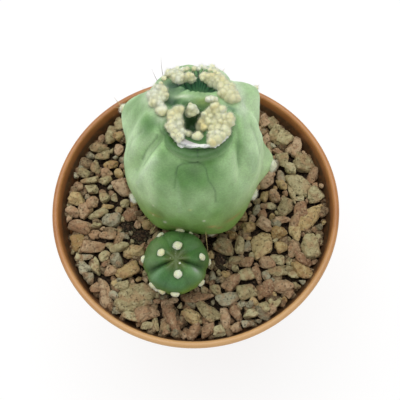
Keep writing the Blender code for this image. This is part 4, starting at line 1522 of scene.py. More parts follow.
@dataclass(frozen=True)
class Felt:
    """How the woolly tufts of one kind look."""

    lobes: int
    lobe_width: float
    lobe_rise: float
    density: float
    length: float
    girth: float
    spread: float
    warmth: float
    grain: float = 0.17 * MM
    soft: int = 4
    unlike: float = 0.08
    patchy: float = 0.22
    patch: float = 2.6 * MM
    heart: Pair = (0.05, 0.6)
    skirt: float = 0.4
    seam: float = 0.22
    bald: Pair = (-0.5, -0.1)
    fibre_sizes: Pair = (0.5, 1.4)

    def puff(self, points: np.ndarray, tuft: Tuft, random: Draws) -> np.ndarray:
        """One knobbly tuft.

        Args:
            points: The points of a ball.
            tuft: Where the tuft is and how large.
            random: Source of the draws.

        Returns:
            The points, moved to the tuft's knobbly face.
        """
        knobs = scattered(self.lobes, random)
        near = np.arccos(np.clip((points @ knobs.T).max(axis=1), -1.0, 1.0))
        reach = 1.0 - self.lobe_rise * 0.6 + self.lobe_rise * bell(near / self.lobe_width)
        shaped = points * reach[:, None] * np.asarray(tuft.size) * MM
        upright = Vector((0, 0, 1)).rotation_difference(tuft.up).to_matrix()
        return shaped @ np.array(upright).T + np.array(tuft.place)

    def shade(self, piece: bpy.types.Object, tufts: Sequence[Tuft], random: Draws) -> None:
        """Give each point its warmth, its painted shade under and between the tufts, and how open it is.

        Args:
            piece: The felted core.
            tufts: The tufts that it is made of.
            random: Source of the draws.
        """
        points = np.empty(len(piece.data.vertices) * 3)
        piece.data.vertices.foreach_get("co", points)
        gap = points.reshape(-1, 1, 3) - stacked([tuft.place for tuft in tufts])
        size = np.array([tuft.size[0] for tuft in tufts]) * MM
        rise = np.einsum("ptk,tk->pt", gap, stacked([tuft.up for tuft in tufts])) / size
        reach = np.linalg.norm(gap, axis=2) / size
        order = np.argsort(reach, axis=1)
        rows = np.arange(len(reach))
        first, second = order[:, 0], order[:, min(1, len(tufts) - 1)]
        aside = np.sqrt(np.clip(reach ** 2 - rise ** 2, 0.0, None))[rows, first]
        warmth = self.warmth + random.uniform(-self.unlike, self.unlike, len(tufts))[first]
        warmth += self.heart[0] * bell(aside / self.heart[1])
        warmth += self.patchy * waves(points.reshape(-1, 3), self.patch, 16, 7)
        # Painted shade: darker under each tuft's top and in the clefts between tufts.
        fold = self.skirt * (1.0 - ramp(rise[rows, first], 0.0, 0.9))
        if len(tufts) > 1:
            fold = np.maximum(fold, bell((reach[rows, second] - reach[rows, first]) / self.seam))
        keep(piece, "warmth", np.clip(warmth, 0.0, 1.0))
        keep(piece, "fold", fold)
        keep(piece, "open", ramp(rise[rows, first], *self.bald))

    def make(self, name: str, tufts: Sequence[Tuft], seed: int, bases: Sequence[Tuft] = ()
             ) -> bpy.types.Object:
        """Felt tufts together into one piece and grow fibres on it.

        Args:
            name: The piece's name.
            tufts: The tufts.
            seed: Seed of their shapes and of the fibres' places.
            bases: More tufts, which fill the room under the others.

        Returns:
            The finished wool.
        """
        random = np.random.default_rng(seed)
        points, faces = ball(4)
        puffs = [self.puff(points, tuft, random) for tuft in (*tufts, *bases)]
        first = np.arange(len(puffs))[:, None, None] * len(points)
        core = mesh_object(name, np.concatenate(puffs), (first + faces).reshape(-1, 3).tolist())
        weld = core.modifiers.new("felt", "REMESH")
        weld.mode, weld.voxel_size = "VOXEL", self.grain
        soften = core.modifiers.new("soften", "SMOOTH")
        soften.factor, soften.iterations = 0.6, self.soft
        settle(core)
        core.data.shade_smooth()
        self.shade(core, tufts, random)
        self.grow(core, seed)
        return core

    def grow(self, core_piece: bpy.types.Object, seed: int) -> None:
        """Grow fine fibres on a core and give all of it the wool's finish.

        Args:
            core_piece: The core.
            seed: Seed of the fibres' places.
        """
        tree = GeometryWriter(f"{core_piece.name} fibres")
        density = tree.given("Fibres per Square Millimetre", self.density)
        length = tree.given("Fibre Length", self.length)
        girth = tree.given("Fibre Radius", self.girth)
        spread = tree.given("Spread", self.spread)
        fixed = tree.given("Seed", seed)
        core = tree.entry.outputs["Geometry"]
        thick = tree.math("MULTIPLY", tree.math("MULTIPLY", density, 1.0e6), tree.named("open"))
        spots = tree.add("GeometryNodeDistributePointsOnFaces",
                         {"Mesh": core, "Density": thick, "Seed": fixed})
        fibre = tree.add("GeometryNodeMeshCone", {"Vertices": 3, "Radius Top": 0.0, "Radius Bottom": girth,
                                                  "Depth": length}, fill_type="NONE")
        sway = tree.add("FunctionNodeRandomValue", {0: (-1, -1, -1), 1: (1, 1, 1), "Seed": fixed},
                        data_type="FLOAT_VECTOR")
        swayed = tree.add("ShaderNodeVectorMath", {0: sway.outputs[0], "Scale": spread}, operation="SCALE")
        aim = tree.add("ShaderNodeVectorMath", {0: spots.outputs["Normal"], 1: swayed}, operation="ADD")
        turned = tree.add("FunctionNodeAlignRotationToVector", {"Vector": aim}, axis="Z")
        sizes = dict(zip((2, 3), self.fibre_sizes))
        size = tree.add("FunctionNodeRandomValue", {**sizes, "Seed": fixed}, data_type="FLOAT")
        fibres = tree.add("GeometryNodeInstanceOnPoints", {
            "Points": spots.outputs["Points"], "Instance": fibre, "Rotation": turned,
            "Scale": size.outputs[1]})
        joined = tree.add("GeometryNodeJoinGeometry")
        tree.tree.links.new(core, joined.inputs[0])
        tree.tree.links.new(fibres.outputs[0], joined.inputs[0])
        tree.finish(joined, WoolFinish().make())
        tree.apply(core_piece)
        core_piece.data.shade_smooth()


@dataclass
class Stem:
    """The main stem: a barrel flattened at its crown, with two growing heads."""

    form: Barrel = Barrel(foot=(-0.3 * MM, 8.6 * MM), lean=(2.8 * MM, 0.0), radius=23.2 * MM,
                          waist=20.0 * MM, rise=46.0 * MM, root=28.0 * MM, squareness=(2.05, 2.6),
                          lean_height=61.0 * MM)
    columns: int = 384
    ring_step: float = 0.42 * MM
    crown_level: float = 61.0 * MM
    crown_tilt: float = 0.05
    crown_rounding: float = 2.2 * MM
    crown_fade: Pair = (48.0 * MM, 54.0 * MM)
    cup: Oval = Oval((1.3, -5.9), (8.3, 7.1))
    cup_depth: float = 1.9 * MM
    pit: Oval = Oval((-1.0, -5.6), (4.4, 6.0), 8.0)
    pit_depth: float = 4.8 * MM
    rim_rise: float = 0.8 * MM
    collar: Oval = Oval((0.6, -6.5), (12.0, 10.6))
    # Rise, reach and half width of each ring in the front head's collar.
    rings: Rows = ((-0.8 * MM, 0.71, 0.06), (0.7 * MM, 0.85, 0.09), (-0.8 * MM, 0.97, 0.045))
    hollow: Oval = Oval((2.3, 7.5), (6.6, 3.4), -12.0)
    hollow_depth: float = 6.0 * MM
    gills: int = 17
    gill_depth: float = 0.55 * MM
    saddle: Oval = Oval((1.2, 2.2), (5.0, 2.2), -6.0)
    saddle_rise: float = 2.0 * MM
    side_hollow: Oval = Oval((-6.6, 3.0), (2.6, 3.4))
    side_depth: float = 1.7 * MM
    furrow_width: float = 6.0
    # Angle, height, half width, half height and rise of each swelling.
    lobes: Rows = (
        (157, 46, 14, 8, 3.0), (-4, 21.5, 13, 7, 4.4), (24, 51, 12, 7, 3.0), (64, 42, 15, 10, 2.0),
        (98, 30, 15, 11, 2.2), (130, 50, 15, 9, -1.3), (48, 56, 13, 6, -2.2), (-128, 44, 11, 9, 1.1),
        (-166, 30, 14, 14, 0.9), (-106, 20, 28, 13, -1.7), (-34, 42, 10, 12, 1.2), (-62, 9, 24, 9, 2.6),
        (-128, 8, 24, 8, 1.9))
    # Top, middle and foot of each as angle and height, and its depth.
    furrows: tuple[tuple[Pair, Pair, Pair, float], ...] = (
        ((-140, 60), (-148, 52), (-158, 36), 2.5), ((-38, 60), (-47, 51), (-49, 42), 1.5),
        ((178, 58), (180, 46), (176, 34), 1.0), ((4, 58), (0, 48), (6, 38), 1.3),
        ((46, 58), (47, 40), (44, 14), 1.5), ((82, 58), (81, 36), (79, 12), 1.4),
        ((114, 58), (113, 36), (116, 10), 1.3), ((142, 58), (141, 34), (146, 10), 1.2),
        ((-110, 56), (-108, 48), (-106, 36), 0.8), ((-80, 55), (-80, 48), (-76, 36), 0.8))
    creases: tuple[Crease, ...] = (
        Crease(((11.4, -2.8), (12.4, -5.6), (12.8, -8.7)), ((-40, 56), (-46, 52), (-48, 48)), 0.6, 0.5, 0.32),
        Crease(((-8.6, -4.6), (-9.8, -8.6)), ((-141, 57), (-144, 52), (-146, 46)), 0.9, 0.5, 0.35),
        Crease(((-0.1, -13.9), (-0.3, -15.2)), ((-90.5, 59.3), (-90.5, 57.2)), 0.26, 0.24, 0.7),
        Crease((), ((-111, 46), (-111, 53), (-110.5, 55), (-106.5, 56.4), (-98.5, 57), (-90, 57),
                    (-85.5, 56.2), (-82.5, 54.2), (-81.5, 49.6), (-77.5, 46.4), (-75.5, 42.6), (-75.5, 36)),
               0.26, 0.16, 0.55),
        Crease((), ((-146, 60.5), (-145, 59.6), (-149, 55), (-151.5, 50.5), (-153, 46)), 0.3, 0.2, 0.5),
        Crease((), ((-111, 50), (-107, 45), (-106, 30)), 0.9, -0.12, -0.14),
        Crease((), ((-133, 55), (-138, 50), (-142, 44), (-146, 36)), 1.2, -0.4, -0.35),
        Crease(((13.4, -4.0), (13.4, -10.0)), ((-37, 52), (-40, 42)), 1.0, -0.4, -0.15),
        Crease((), ((-163, 57), (-168, 50), (-166, 40)), 0.7, 0.3, 0.2),
        Crease((), ((-17, 56), (-20, 48), (-26, 40)), 0.9, 0.4, 0.25))
    # Angle, height, half width, half height and strength, below 0 where the bloom is thin: partly the skin's
    # own bloom, partly painted light on lit flanks and ridges and painted shade on the front.
    blooms: Rows = (
        (-168, 46, 26, 16, 0.5), (168, 58, 14, 6, -0.5), (-165, 60, 12, 5, -0.45), (-138, 48, 9, 12, 0.65),
        (-147, 52, 5, 6, 0.4), (-154, 55.5, 4, 2.6, 0.35), (-155, 24, 22, 12, 0.4), (-109, 57, 6, 3, 0.25),
        (-92, 51, 24, 8, -0.38), (-95, 28, 34, 12, 0.12), (-101, 40, 10, 6, -0.18), (-110, 26, 8, 6, 0.2),
        (-72, 44, 8, 8, -0.2), (-65, 52, 6, 5, -0.2), (-64, 50, 9, 10, 0.32), (-53, 50, 5, 9, 0.45),
        (-58, 14, 14, 8, -0.3), (-36, 47, 7, 7, -0.3), (-26, 44, 24, 20, 0.64), (-24, 24, 22, 13, 0.6),
        (6, 54, 14, 7, 0.6), (60, 46, 30, 18, 0.3), (120, 44, 34, 18, 0.3))
    # Shape, tone and strength of each patch of the crown; the dark ones are painted shade in its hollows and
    # below the wool.
    patches: tuple[tuple[Oval, Colour, float], ...] = (
        (Oval((-6.4, 7.4), (3.4, 2.4), -20.0), linear(44, 84, 58), 0.95),
        (Oval((-6.8, 2.4), (3.6, 1.5), -8.0), linear(48, 84, 58), 0.95),
        (Oval((-2.6, 0.7), (2.0, 0.9)), linear(62, 102, 60), 0.85),
        (Oval((-3.4, 3.3), (2.6, 0.55), -20.0), linear(206, 220, 190), 0.85),
        (Oval((2.8, 0.6), (2.8, 0.8), -6.0), linear(150, 176, 96), 0.7),
        (Oval((-9.5, -2.9), (1.6, 2.2)), linear(200, 218, 184), 0.7),
        (Oval((-12.9, 3.4), (2.4, 4.8), 20.0), linear(204, 220, 188), 0.75),
        (Oval((9.0, 0.9), (2.2, 0.7), -60.0), linear(186, 204, 176), 0.5),
        (Oval((14.4, -1.0), (1.4, 3.2)), linear(214, 228, 202), 0.7),
        (Oval((12.8, -2.4), (1.1, 1.8)), linear(206, 222, 194), 0.5),
        (Oval((13.0, 5.4), (1.7, 4.6), 25.0), linear(214, 228, 202), 0.6),
        (Oval((10.7, -1.7), (2.6, 1.1), -32.0), linear(66, 108, 80), 0.8))
    # Angle, height, half width, half height, tone and strength of each mark; the two dark green ones, at the
    # left edge of the crown and at the front under the collar, are painted shade.
    spots: tuple[tuple[float, float, float, float, Colour, float], ...] = (
        (-130, 28, 0.8, 0.6, linear(236, 240, 214), 1.0), (-131, 19, 0.8, 0.6, linear(236, 240, 214), 1.0),
        (-85, 22.6, 1.1, 0.7, linear(240, 240, 220), 1.0), (-120, 16.6, 1.4, 0.7, linear(240, 240, 220), 1.0),
        (-97, 33.6, 1.4, 0.6, linear(214, 224, 150), 0.8), (-78, 17.5, 4.0, 1.0, linear(196, 176, 112), 0.9),
        (-72, 15.5, 3.0, 0.9, linear(170, 146, 92), 0.8), (-125, 22, 5.0, 3.0, linear(126, 130, 70), 0.3),
        (-162, 60.5, 10.0, 3.4, linear(90, 124, 80), 0.7), (-96, 54.5, 12.0, 4.0, linear(70, 104, 62), 0.45),
        (-65, 19, 6.0, 3.4, linear(120, 120, 64), 0.35), (-110, 14, 8.0, 1.4, linear(150, 140, 84), 0.45),
        (-58, 18.4, 7.0, 0.9, linear(182, 140, 84), 0.65), (-130, 19.4, 6.0, 0.9, linear(178, 156, 84), 0.55))

    def flank_relief(self, angle: np.ndarray, height: np.ndarray) -> np.ndarray:
        """How far the flank stands out.

        Args:
            angle: Angles round the stem, in degrees.
            height: Heights above the ground.

        Returns:
            One relief for each place.
        """
        relief = np.zeros(np.broadcast(angle, height).shape)
        level = height / MM
        for lobe_angle, lobe_height, wide, tall, rise in self.lobes:
            aside = turn_between(angle, lobe_angle) / wide
            relief += rise * MM * bell(aside) * bell((level - lobe_height) / tall)
        for top, middle, foot, depth in self.furrows:
            course = np.interp(level, (foot[1], middle[1], top[1]), (foot[0], middle[0], top[0]))
            fade = ramp(level, foot[1] - 8, foot[1] + 2) * (1 - ramp(level, top[1] - 2, top[1] + 5))
            relief -= depth * MM * bell(turn_between(angle, course) / self.furrow_width) * fade
        return relief

    def crown_relief(self, place: Arrays) -> np.ndarray:
        """How far the crown stands out.

        Args:
            place: Places across the crown.

        Returns:
            One relief for each place.
        """
        front, collar, facing = self.cup.reach(place), self.collar.reach(place), self.facing(place)
        relief = -self.cup_depth * (1.0 - ramp(front, 0.5, 0.95))
        relief -= self.pit_depth * (1.0 - ramp(self.pit.reach(place), 0.3, 1.1))
        relief += self.rim_rise * bell((front - 1.0) / 0.1) * (0.4 + 0.6 * facing)
        for rise, reach, width in self.rings:
            relief += rise * facing * bell((collar - reach) / width)
        relief += self.saddle_rise * bell(self.saddle.reach(place))
        relief -= self.hollow_depth * (1.0 - ramp(self.hollow.reach(place), 0.35, 1.1))
        relief += self.gill_depth * self.gill_wave(place) * self.gill_comb(place)
        relief -= self.side_depth * bell(self.side_hollow.reach(place))
        return relief

    def facing(self, place: Arrays) -> np.ndarray:
        """How far a place is on the front head's side of the collar, 0 to 1."""
        return 1.0 - ramp(np.abs(turn_between(self.collar.bearing(place), -90.0)), 75.0, 115.0)

    def gill_wave(self, place: Arrays) -> np.ndarray:
        """The ridges round the rear hollow, 1 on a ridge and -1 between two."""
        return np.cos(self.gills * np.radians(self.hollow.bearing(place)))

    def gill_comb(self, place: Arrays) -> np.ndarray:
        """Where the ridges of the rear hollow stand, 0 to 1."""
        behind = ramp(place[1], self.saddle.centre[1] * MM, self.hollow.centre[1] * MM)
        return bell((self.hollow.reach(place) - 1.0) / 0.5) * behind

    def skin(self, angle: np.ndarray, latitude: np.ndarray) -> tuple[np.ndarray, ...]:
        """Places of the bare skin.

        Args:
            angle: Angles in degrees.
            latitude: Latitudes in degrees.

        Returns:
            Points, outward directions, and the places across the crown.
        """
        radius, height, out, up = self.form.section(latitude)
        turn = np.radians(angle)
        place = (radius * np.cos(turn), radius * np.sin(turn))
        cap = self.crown_level + self.crown_tilt * place[1]
        share = np.clip(0.5 + 0.5 * (cap - height) / self.crown_rounding, 0.0, 1.0)
        capped = cap + (height - cap) * share - self.crown_rounding * share * (1.0 - share)
        crown = ramp(height, *self.crown_fade)
        relief = self.flank_relief(angle, height) + self.crown_relief(place) * crown
        points, normals = self.form.stand(turn, radius + relief * out, capped + relief * up, out, up)
        return points, normals, place

    def on_flank(self, angle: float, height_mm: float) -> tuple[Vector, Vector]:
        """A point of the flank and its outward direction."""
        points, normals, _ = self.skin(angle, self.form.latitude_of_height(height_mm * MM))
        return Vector(points), Vector(normals)

    def on_crown(self, across_mm: float, back_mm: float) -> tuple[Vector, Vector]:
        """A point of the crown and its outward direction."""
        angle = math.degrees(math.atan2(back_mm, across_mm))
        reach = math.hypot(across_mm, back_mm) * MM
        points, normals, _ = self.skin(angle, self.form.latitude_of_radius(reach))
        return Vector(points), Vector(normals)

    def line(self, crease: Crease) -> np.ndarray:
        """The points that a crease runs through."""
        crown = [self.on_crown(*place)[0] for place in crease.crown]
        return stacked(crown + [self.on_flank(*place)[0] for place in crease.flank])

    def colours(self, points: np.ndarray, angle: np.ndarray, place: Arrays, shade: np.ndarray) -> np.ndarray:
        """Paint the skin: green flesh under a pale bloom, with painted shade in its hollows and creases and
        painted light on its flanks and ridges.

        Args:
            points: The skin's points.
            angle: Angle of each in degrees.
            place: Arrays of each across the crown.
            shade: How much painted shade the creases give each, below 0 for a painted highlight.

        Returns:
            One linear colour for each point.
        """
        level = (points[..., 2] - GROUND) / MM
        patchy = waves(points, 9.0 * MM, 12, 41)
        streaky = waves(points * np.array((1.0, 1.0, 0.35)), 2.6 * MM, 16, 42)
        bloom = 0.38 + 0.12 * patchy + 0.10 * streaky
        # Spots of bloom, partly painted light and painted shade.
        for *where, amount in self.blooms:
            bloom += amount * spot(angle, level, where)
        bloom *= 0.35 + 0.65 * ramp(level, 2.0, 26.0)
        colour = blend(linear(103, 156, 78), linear(202, 234, 180), np.clip(bloom, 0.0, 1.0))
        cork = ramp(waves(points, 2.2 * MM, 14, 43), 0.7, 1.5) * (1.0 - ramp(level, 3.0, 12.0))
        crown = ramp(level, 54.0, 59.0)
        # Painted shade deep in the front head's pit.
        deep = ramp(level, 50.0, 54.0) * (1.0 - ramp(self.pit.reach(place), 0.5, 1.25))
        # Painted shade in the slots between the rear hollow's ridges.
        slot_shade = self.gill_comb(place) * ramp(-self.gill_wave(place), -0.2, 0.8)
        reach, facing = self.collar.reach(place), self.facing(place)
        # Painted shade in the collar's throat, under the torn rim.
        throat_shade = ramp(reach, 0.60, 0.68) * (1.0 - ramp(reach, 0.80, 1.02))
        # The young foot, cork and marks, painted shade in the front head's cup and pit, the rear hollow's
        # darker green, partly painted shade, with painted shade in its slots, painted shade in the side
        # hollow, the saddle, the crown's patches, painted shade in the collar's throat, a painted highlight
        # on its lip, and painted shade in the creases with painted highlights on the ridges.
        layers = [
            (linear(142, 182, 76), 0.65 * (1.0 - ramp(level, 8.0, 38.0))),
            (linear(150, 128, 84), 0.7 * cork),
            *((tone, share * spot(angle, level, where)) for *where, tone, share in self.spots),
            # Painted shade in the cup and pit, the rear hollow, partly its own darker green, and the side
            # hollow.
            (linear(54, 100, 50), 0.92 * crown * (1.0 - ramp(self.cup.reach(place), 0.8, 1.02))),
            (linear(56, 92, 54), 0.95 * deep),
            (linear(58, 124, 88), 0.95 * crown * (1.0 - ramp(self.hollow.reach(place), 0.6, 1.5))),
            (linear(22, 58, 50), 0.85 * crown * slot_shade),
            (linear(64, 104, 78), 0.7 * crown * bell(self.side_hollow.reach(place) / 0.9)),
            (linear(126, 160, 108), 0.8 * crown * bell(self.saddle.reach(place))),
            *((tone, share * crown * bell(oval.reach(place))) for oval, tone, share in self.patches),
            (linear(53, 95, 43), 0.85 * crown * facing * throat_shade),
            # A painted highlight along the collar's lip.
            (linear(130, 168, 112), 0.35 * crown * facing * bell((reach - 0.90) / 0.05)),
            # Painted shade in the creases, and a painted highlight on the raised ones.
            (linear(58, 92, 58), 0.9 * np.clip(shade, 0.0, 1.0)),
            (linear(206, 226, 196), np.clip(-shade, 0.0, 1.0)),
        ]
        for tone, share in layers:
            colour = blend(colour, tone, share)
        return colour

    def make(self) -> None:
        """Make the skin with its creases, and paint it."""
        latitude = self.form.even_latitudes(self.ring_step, -60.0, 89.2)[:, None]
        angle = np.linspace(0.0, 360.0, self.columns, endpoint=False)[None, :]
        points, normals, place = self.skin(angle, latitude)
        shade = np.zeros(points.shape[:-1])
        relief = 0.10 * MM * waves(points, 4.0 * MM, 18, 44) + 0.04 * MM * waves(points, 1.4 * MM, 22, 45)
        for crease in self.creases:
            gap = bell(distance_to_path(points, self.line(crease)) / (crease.width * MM))
            relief -= crease.depth * MM * gap
            shade += crease.shade * gap
        points = points + relief[..., None] * normals
        colours = self.colours(points, np.broadcast_to(angle, shade.shape), place, shade)
        finish = SkinFinish("waxy stem skin", roughness=0.5, dots=linear(214, 226, 200), dot_share=0.06,
                            mottle=0.10)
        dress_skin("stem_skin", points, colours, finish, "stem")


@dataclass
class StemAreoles:
    """The woolly areoles of the flanks and the loose tufts between the bunches."""

    stem: Stem
    felt: Felt = Felt(lobes=12, lobe_width=0.5, lobe_rise=0.22, density=30.0, length=0.7 * MM,
                      girth=0.018 * MM, spread=1.2, warmth=0.3)
    # Angle, height and radius of each.
    flank: Rows = (
        (157, 46, 1.5), (-8, 22, 2.1), (26, 51, 0.9), (-157, 15.5, 1.9), (-31, 17.5, 2.0), (-76, 6, 1.3),
        (-140, 3, 1.2), (64, 43, 1.4), (98, 30, 1.5), (128, 40, 1.2), (62, 14, 1.4), (104, 9, 1.3),
        (138, 16, 1.4))
    # Across, back and radius of each.
    crown: Rows = (
        (-9.7, -0.8, 1.85), (0.4, -10.4, 1.7), (-3.1, -8.9, 1.1), (-2.6, -8.0, 0.8), (3.9, 0.9, 0.95),
        (5.0, 1.1, 1.0), (6.0, 1.1, 0.9), (-6.9, 12.2, 1.3), (-5.6, 12.9, 0.9), (-8.4, 10.3, 0.9),
        (8.4, 10.9, 1.2), (9.5, 9.5, 1.2), (3.0, 13.3, 0.7), (-9.5, 8.6, 0.7), (5.6, 12.1, 0.9),
        (4.1, 12.5, 0.8), (7.0, 11.6, 0.8), (-4.3, 13.4, 0.9), (-2.6, 12.5, 0.85), (-1.2, 12.2, 0.7),
        (0.8, 12.1, 0.8), (2.2, 12.4, 0.7), (6.4, 13.6, 1.0), (7.9, 12.8, 0.9))
    seed: int = 51

    def make(self) -> None:
        """Make every tuft and its fibres."""
        tufts = []
        for angle, height, radius in self.flank:
            place, up = self.stem.on_flank(angle, height)
            tufts.append(Tuft(place, (radius, radius, radius * 0.7), up))
        for across, back, radius in self.crown:
            place, _ = self.stem.on_crown(across, back)
            place.z += 0.2 * radius * MM
            tufts.append(Tuft(place, (radius, radius, radius), Vector((0, 0, 1))))
        dress(self.felt.make("stem_areoles", tufts, self.seed), "stem")


@dataclass
class Fleece:
    """One bunch of the crown's wool: small tufts felted together, with short fibres."""

    stem: Stem
    name: str
    size: float
    warmth: float
    seed: int
    crowd: int
    soft: int
    tufts: tuple[Pair, ...]
    lift: float = 0.45
    sizes: Pair = (0.9, 1.12)
    narrowing: Pair = (0.85, 1.1)
    tilt: float = 0.25
    base: Pair = (1.15, 0.9)
    bud_sizes: Pair = (0.5, 0.75)
    bud_reach: Pair = (0.6, 0.95)
    bud_lift: Pair = (-15.0, 35.0)

    def make(self) -> None:
        """Make the tufts, a base under each, buds round each, and their fibres."""
        random = np.random.default_rng(self.seed)
        tufts, bases, up = [], [], Vector((0.0, 0.0, MM))
        for across, back in self.tufts:
            place, _ = self.stem.on_crown(across, back)
            radius = self.size * random.uniform(*self.sizes)
            place.z += self.lift * radius * MM
            tilt = Vector((*random.uniform(-self.tilt, self.tilt, 2), 1.0)).normalized()
            narrow = radius * random.uniform(*self.narrowing)
            tufts.append(Tuft(place, (radius, narrow, radius * 1.05), tilt))
            wide, tall = radius * self.base[0], radius * self.base[1]
            bases.append(Tuft(place - up * (0.4 * radius), (wide, wide, tall), tilt))
            for turn in random.uniform(0.0, 360.0, self.crowd):
                bud = radius * random.uniform(*self.bud_sizes)
                way = direction(turn, random.uniform(*self.bud_lift))
                aside = way * (radius * random.uniform(*self.bud_reach) * MM)
                tufts.append(Tuft(place + aside, (bud, bud, bud), tilt))
        felt = Felt(lobes=12, lobe_width=0.45, lobe_rise=0.3, density=26.0, length=0.8 * MM,
                    girth=0.019 * MM, spread=1.3, warmth=self.warmth, soft=self.soft)
        dress(felt.make(f"{self.name}_fleece", tufts, self.seed, bases), self.name)


@dataclass(frozen=True)
class Spine:
    """One spine: its root, the way it points, its length, sideways bend and age."""

    root: Vector
    aim: Vector
    length: float
    bend: float
    age: float
    girth: float = 0.14 * MM


@dataclass
class Spines:
    """All the spines, swept along their curves by Geometry Nodes."""

    stem: Stem
    steps: int = 8
    taper: float = 0.88
    bend: float = 0.1
    rear_girth: float = 0.09 * MM
    speck_girth: float = 0.10 * MM
    speck_lift: float = 1.6 * MM
    speck_turns: Pair = (180, 300)
    speck_lifts: Pair = (35, 70)
    speck_lengths: Pair = (0.8, 1.4)
    sides: int = 6
    sunk: float = 0.6 * MM
    # Angle and height of the root, turn and lift of the aim, and length.
    flank: Rows = (
        (157, 46, -28, 30, 4.6), (157, 46, 22, 16, 3.6), (157, 46, -4, 60, 4.2), (26, 51, 10, 34, 1.6),
        (-83, 12, -6, -2, 10.4), (-136, 12, -20, 18, 3.4), (-130, 9, 14, 4, 4.2),
        (-142, 10, 10, 24, 3.0), (98, 30, -24, 24, 4.4),
        (98, 30, 26, 20, 3.8), (128, 40, 6, 20, 3.6), (64, 43, -16, 10, 2.4), (62, 14, 18, 10, 3.4),
        (138, 16, -18, 12, 3.6))
    # Across and back of the root, turn and lift of the aim, and length.
    rear: Rows = (
        (-8.9, 13.4, 104, 62, 6.4), (-10.8, 11.6, 128, 50, 4.2))
    specks: tuple[Pair, ...] = ((-6.2, -8.6), (-5.4, -9.6), (-4.6, -8.9), (-4.2, -10.2), (-3.6, -7.6),
                                (-5.9, -7.4))
    seed: int = 61

    def listed(self) -> list[Spine]:
        """Every spine, worked out from the tables."""
        random = np.random.default_rng(self.seed)
        found = []
        for angle, height, turn, lift, length in self.flank:
            root, _ = self.stem.on_flank(angle, height)
            bend = random.uniform(-self.bend, self.bend)
            found.append(Spine(root, direction(angle + turn, lift), length * MM, bend, 0.15))
        for across, back, turn, lift, length in self.rear:
            root, _ = self.stem.on_crown(across, back)
            aim = direction(turn, lift)
            found.append(Spine(root, aim, length * MM, 0.12, 1.0, self.rear_girth))
        for across, back in self.specks:
            root, _ = self.stem.on_crown(across, back)
            root.z += self.speck_lift
            aim = direction(random.uniform(*self.speck_turns), random.uniform(*self.speck_lifts))
            length = random.uniform(*self.speck_lengths) * MM
            found.append(Spine(root, aim, length, 0.0, 1.0, self.speck_girth))
        return found

    def make(self) -> None:
        """Draw the spines as lines and sweep them."""
        points, edges, girths, ages = [], [], [], []
        for spine in self.listed():
            side = spine.aim.cross(Vector((0, 0, 1))).normalized()
            first = len(points)
            for step in range(self.steps + 1):
                share = step / self.steps
                along = share * (spine.length + self.sunk) - self.sunk
                point = spine.root + spine.aim * along + side * spine.bend * spine.length * share ** 2
                points.append(point)
                girths.append(spine.girth * (1.0 - self.taper * share))
                ages.append(min(1.0, spine.age + 0.6 * share ** 3))
            edges += [(place, place + 1) for place in range(first, len(points) - 1)]
        spines = mesh_object("stem_spines", stacked(points), [], edges)
        keep(spines, "girth", girths)
        keep(spines, "age", ages)
        tree = GeometryWriter("spine sweep")
        sides = tree.given("Sides", self.sides)
        swell = tree.given("Thickness", 1.0)
        path = tree.add("GeometryNodeMeshToCurve", {"Mesh": tree.entry.outputs["Geometry"]})
        girth = tree.math("MULTIPLY", tree.named("girth"), swell)
        slim = tree.add("GeometryNodeSetCurveRadius", {"Curve": path, "Radius": girth})
        outline = tree.add("GeometryNodeCurvePrimitiveCircle", {"Resolution": sides, "Radius": 1.0})
        swept = tree.add("GeometryNodeCurveToMesh", {"Curve": slim, "Profile Curve": outline,
                                                     "Fill Caps": True})
        if "Scale" in swept.inputs:
            tree.feed(swept.inputs["Scale"], girth)
        tree.finish(swept, SpineFinish().make())
        tree.apply(spines)
        spines.data.shade_smooth()
        dress(spines, "stem")


def direction(angle: float, lift: float) -> Vector:
    """A direction from a turn about Z and a lift above level, both in degrees."""
    turn, rise = math.radians(angle), math.radians(lift)
    return Vector((math.cos(turn) * math.cos(rise), math.sin(turn) * math.cos(rise), math.sin(rise)))


